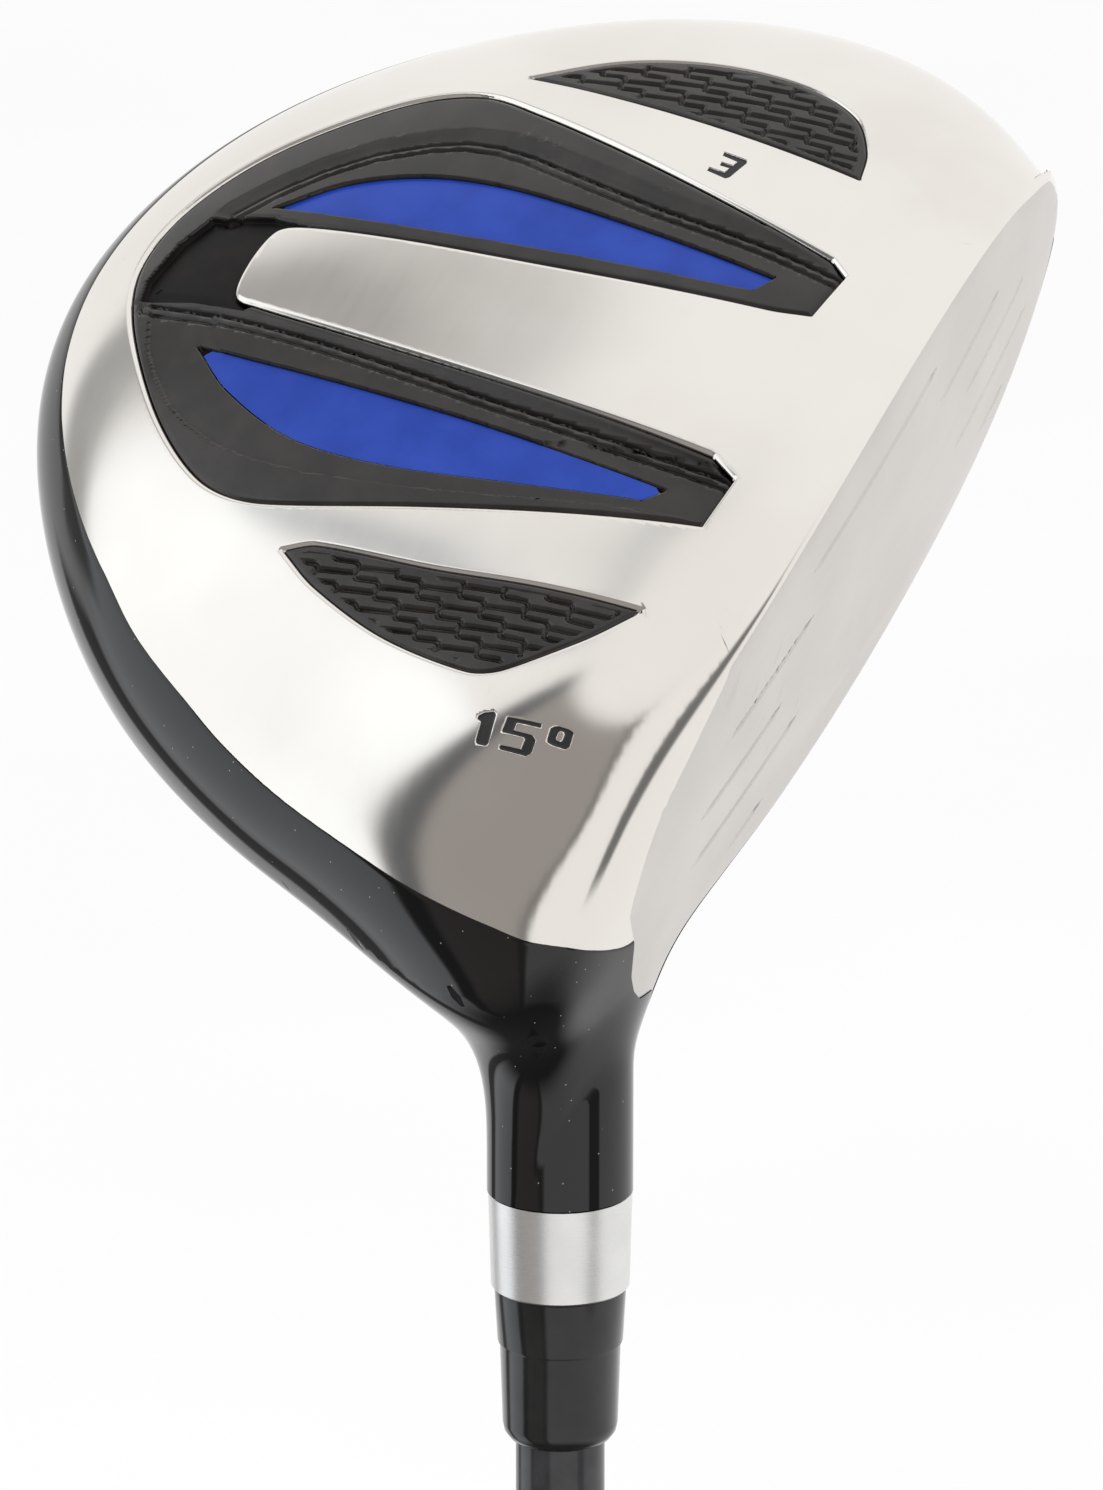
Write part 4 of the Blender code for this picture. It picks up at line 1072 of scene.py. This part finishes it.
rims = [(BADGE.inside, (0.08, 0.2, 0.4, 0.7))]
rims += [(outline.inside, (-0.3, -0.16, -0.08, 0.0)) for outline in (TOE_INLAY, HEEL_INLAY)]
rims += [(WEB.inside, (-0.15, -0.05, 0.05, 0.14))]
rims += [
    (lambda p, path=path: beside(p, path)[0], (0.16, 0.26, 0.34, 0.42, 0.86, 1.0, 1.2, 1.34))
    for path in (TOE_GROOVE, HEEL_GROOVE)
]
rims += [(lambda p: beside(p, HEEL_STEP)[0], (0.1, 0.2, 0.3))]
badge, badge_faces = sheet(BADGE, 0.45, rims)
badge, badge_normals = sunk(badge, badge_depth, head_value)
made, place = new_material("badge_plastic")
plastic = finish(
    made,
    {"Specular IOR Level": 0.5},
    Base_Color=place.mottled(220.0, (0.012, 0.010, 0.009), (0.022, 0.018, 0.016), 4.0, 0.35),
    Roughness=0.17 + place.noise(260.0, 3.0) * 0.14,
    Normal=place.bump(place.noise(1400.0, 3.0) * 0.000006 + place.noise(160.0, 2.0) * 0.00004),
)
in_web = WEB.inside(badge[badge_faces].mean(axis=1)) > 0
add_piece(
    "badge_moulding",
    badge,
    badge_faces[~in_web],
    badge_normals,
    plastic,
    "black_badge",
    "badge_frame",
)
# The web takes a darker, less glossy copy of the badge plastic: painted shade for its sunk middle.
made, place = new_material("badge_web_shaded_plastic")
shaded_web_plastic = finish(
    made,
    {"Specular IOR Level": 0.12},
    Base_Color=place.mottled(260.0, (0.006, 0.005, 0.005), (0.012, 0.009, 0.008), 4.0, 0.35),
    Roughness=0.3 + place.noise(260.0, 3.0) * 0.2,
    Normal=place.bump(place.noise(900.0, 3.0) * 0.00001),
)
add_piece("badge_web", badge, badge_faces[in_web], badge_normals, shaded_web_plastic, "black_badge")

# ---- Inlays: two thin leaves of blue plastic with a soft gloss, punched from sheet.
# Each is pressed into its sunk place in the badge and glued there.

made, place = new_material("blue_inlay")
blue = finish(
    made,
    {"Specular IOR Level": 0.25},
    Base_Color=place.mottled(150.0, (0.008, 0.044, 0.35), (0.014, 0.058, 0.42)),
    Roughness=0.18 + place.noise(300.0, 3.0) * 0.1,
    Normal=place.bump(place.noise(260.0, 3.0) * 0.00001),
)
INLAY_SUNK = 0.72
for name, outline in (("toe_inlay", TOE_INLAY), ("heel_inlay", HEEL_INLAY)):
    inlay, inlay_faces = sheet(outline, 0.9, ((outline.inside, (0.15,)),))
    inlay, inlay_normals = sunk(inlay, lambda p: np.full(len(p), INLAY_SUNK), head_value)
    add_piece(name + "_face", inlay, inlay_faces, inlay_normals, blue, "blue_inlay", name)

# ---- Pads: black rubber, moulded with a relief of linked hooks, in the sole's two small pockets.
# The hooks stand in rows: a short bar and a long bar, joined by round turns, again and again.

HOOK_STEPS = np.array(((0.7, 4.4), (-2.56, -1.35)))
left_turn = np.linspace(math.pi / 2, 3 * math.pi / 2, 9)
right_turn = np.linspace(math.pi / 2, -math.pi / 2, 9)
HOOK = np.concatenate(
    [
        np.stack((0.62 * np.sin(left_turn), 0.62 * np.cos(left_turn)), -1),
        np.stack((-1.28 + 0.64 * np.sin(right_turn), 1.9 + 0.64 * np.cos(right_turn)), -1),
        [(HOOK_STEPS[1, 0] + 0.62, HOOK_STEPS[1, 1])],
    ]
)


def hooks_distance(points, origin):
    plan = points[..., :2].reshape(-1, 2) - origin
    cell = np.round(plan @ np.linalg.inv(HOOK_STEPS))
    plan = plan - cell @ HOOK_STEPS
    found = np.full(len(plan), 9.0)
    for column in (-1, 0, 1):
        for row in (-2, -1, 0, 1):
            shift = np.array((column, row)) @ HOOK_STEPS
            found = np.minimum(found, beside(plan - shift, HOOK, 0.5)[0])
    return found.reshape(points.shape[:-1])


made, place = new_material("pad_rubber")
rubber = finish(
    made,
    {"Specular IOR Level": 0.5},
    Base_Color=place.mottled(300.0, (0.012, 0.010, 0.009), (0.024, 0.020, 0.018), 4.0, 0.35),
    Roughness=0.14 + place.noise(400.0, 3.0) * 0.14,
    Normal=place.bump(place.noise(1200.0, 3.0) * 0.000012),
)
HOOK_WIDTH, HOOK_DEPTH = 0.36, 0.45
PAD_SUNK = 0.12
PADS = (("heel_pad", HEEL_PAD, (-1.78, -3.03)), ("toe_pad", TOE_PAD, (64.4, -6.0)))
for name, outline, origin in PADS:

    def pad_depth(points):
        edge = outline.inside(points)
        relief = np.clip(1 - hooks_distance(points, origin) / HOOK_WIDTH, 0, 1)
        relief = HOOK_DEPTH * relief * step(edge, 0.7, 1.0)
        return PAD_SUNK + lip(edge, 0.45, 0.4) + relief

    pad, pad_faces = sheet(outline, 0.13, ((outline.inside, (0.08, 0.2, 0.4)),))
    pad, pad_normals = sunk(pad, pad_depth, head_value)
    add_piece(name + "_face", pad, pad_faces, pad_normals, rubber, "black_pad", name)

# ---- Ring: a bare aluminium collar, turned on a lathe, which left its fine marks round it.
# It sits on the shaft between the neck and the ferrule, and its outside tapers a little.


def turned(name, profile, sides, material, slot, *nodes):
    """A turned piece from (radius, distance up the shaft's axis from the ground)."""
    profile = np.array(profile, float)
    turn = np.linspace(0, 2 * math.pi, sides, endpoint=False)
    first = np.array((0.0, 1.0, 0.0))
    second = np.cross(UP_SHAFT, first)
    around = np.cos(turn)[:, None] * first + np.sin(turn)[:, None] * second
    ways = np.diff(profile, axis=0)
    ways /= np.linalg.norm(ways, axis=1, keepdims=True)
    points, normals, faces = [], [], []
    for at, way in enumerate(ways):
        for end in (0, 1):
            radius, up = profile[at + end]
            points.append(radius * around + up * UP_SHAFT)
            joint = ways[min(max(at + (1 if end else -1), 0), len(ways) - 1)]
            soft = joint if joint @ way > 0.8 else way
            mean = (way + soft) / np.linalg.norm(way + soft)
            normals.append(mean[1] * around - mean[0] * UP_SHAFT)
        faces.append(grid_faces(2, sides, True) + at * 2 * sides)
    points, normals = np.concatenate(points), np.concatenate(normals)
    add_piece(name, points, np.concatenate(faces), normals, material, slot, *nodes)


made, place = new_material("ring_aluminium")
lathe_marks = {"W": place.along((0.0, 0.0, 1.0)) * 9000.0, "Detail": 3.0}
lathe = place.node("TexNoise", {"noise_dimensions": "1D"}, lathe_marks)
aluminium = finish(
    made,
    {"Anisotropic": 0.6},
    Base_Color=place.mottled(200.0, (0.72, 0.715, 0.70), (0.78, 0.775, 0.765)),
    Metallic=1.0,
    Roughness=0.22 + lathe * 0.1,
    Normal=place.bump(lathe * 0.000002),
)
turned(
    "trim_ring_face",
    ((5.5, 58.82), (6.7, 58.82), (6.85, 58.97), (6.6, 68.2), (6.45, 68.38), (5.5, 68.38)),
    128,
    aluminium,
    "ring_aluminium",
    "trim_ring",
)

# ---- Ferrule: a sleeve of glossy black plastic, turned and then polished, with one small step.
# It is glued on the shaft against the ring and narrows to the shaft, so that the joint is neat.

made, place = new_material("ferrule_plastic")
ferrule_plastic = finish(
    made,
    {"Specular IOR Level": 0.5},
    Base_Color=place.mottled(300.0, (0.005, 0.005, 0.005), (0.010, 0.010, 0.010)),
    Roughness=0.10 + place.noise(500.0, 3.0) * 0.08,
    Normal=place.bump(place.noise(900.0, 2.0) * 0.000003),
)
turned(
    "ferrule_face",
    (
        (5.0, 68.4), (6.15, 68.4), (6.28, 68.55), (5.98, 73.85), (5.93, 74.0), (5.8, 74.05),
        (5.75, 74.2), (5.5, 82.2), (5.35, 82.95), (4.9, 83.6), (4.3, 83.9), (4.2, 83.9),
    ),
    128,
    ferrule_plastic,
    "ferrule_plastic",
    "ferrule",
)

# ---- Shaft: a tapered tube, wound from graphite fibre in resin and painted dark grey.
# Its thin tip is glued into the neck, and its thick end lies inside the grip.

made, place = new_material("graphite")
graphite = finish(
    made,
    {"Specular IOR Level": 0.5},
    Base_Color=place.mottled(400.0, (0.018, 0.018, 0.02), (0.03, 0.03, 0.033)),
    Roughness=0.14 + place.noise(200.0, 3.0) * 0.08,
    Normal=place.bump(place.noise(600.0, 2.0) * 0.000003),
)
turned(
    "shaft_face",
    ((4.25, 30.0), (4.25, 116.3), (7.6, 935.7), (7.6, 1085.0)),
    96,
    graphite,
    "graphite",
    "shaft",
)

# ---- Grip: a tapered sleeve of moulded rubber with a fine grain, pulled over tape on the shaft.
# A closed cap with a small vent hole ends it at the butt.

made, place = new_material("grip_rubber")
grip_rubber = finish(
    made,
    Base_Color=place.mottled(500.0, (0.014, 0.014, 0.014), (0.028, 0.028, 0.028), 4.0),
    Roughness=0.6 + place.noise(800.0, 3.0) * 0.2,
    Normal=place.bump(place.cells(450.0) * 0.0002),
)
turned(
    "grip_face",
    ((8.3, 825.05), (9.2, 825.0), (9.4, 825.3), (11.5, 1032.0), (13.2, 1085.7)),
    96,
    grip_rubber,
    "grip_rubber",
    "grip_sleeve",
)
turned(
    "grip_cap_face",
    (
        (13.2, 1086.0), (13.5, 1087.5), (13.5, 1090.0), (13.35, 1090.9), (12.8, 1091.6),
        (11.9, 1092.0), (1.2, 1092.0), (1.2, 1088.0),
    ),
    96,
    grip_rubber,
    "cap_rubber",
    "grip_cap",
)

# ---- Hidden pieces: tapes, the resin pad, the steel cup in the neck and the brass tip weight.
# They keep the part's own solids, with a finish each.

HIDDEN = {
    "badge_tape": ((0.70, 0.70, 0.66), 0.6, 0.0),
    "heel_pad_tape": ((0.70, 0.70, 0.66), 0.6, 0.0),
    "toe_pad_tape": ((0.70, 0.70, 0.66), 0.6, 0.0),
    "grip_tape": ((0.78, 0.74, 0.62), 0.7, 0.0),
    "hot_melt_pad": ((0.55, 0.38, 0.12), 0.45, 0.0),
    "hosel_tube": ((0.45, 0.45, 0.46), 0.35, 1.0),
    "tip_weight": ((0.72, 0.52, 0.22), 0.3, 1.0),
}
for name, (colour, rough, metal) in HIDDEN.items():
    made, place = new_material(name + "_finish")
    darker = tuple(0.85 * part for part in colour)
    finish(
        made,
        Base_Color=place.mottled(250.0, colour, darker),
        Metallic=metal,
        Roughness=rough + place.noise(400.0, 3.0) * 0.1,
        Normal=place.bump(place.noise(900.0, 3.0) * 0.00001),
    )
    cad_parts[name].data.materials.clear()
    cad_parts[name].data.materials.append(made)
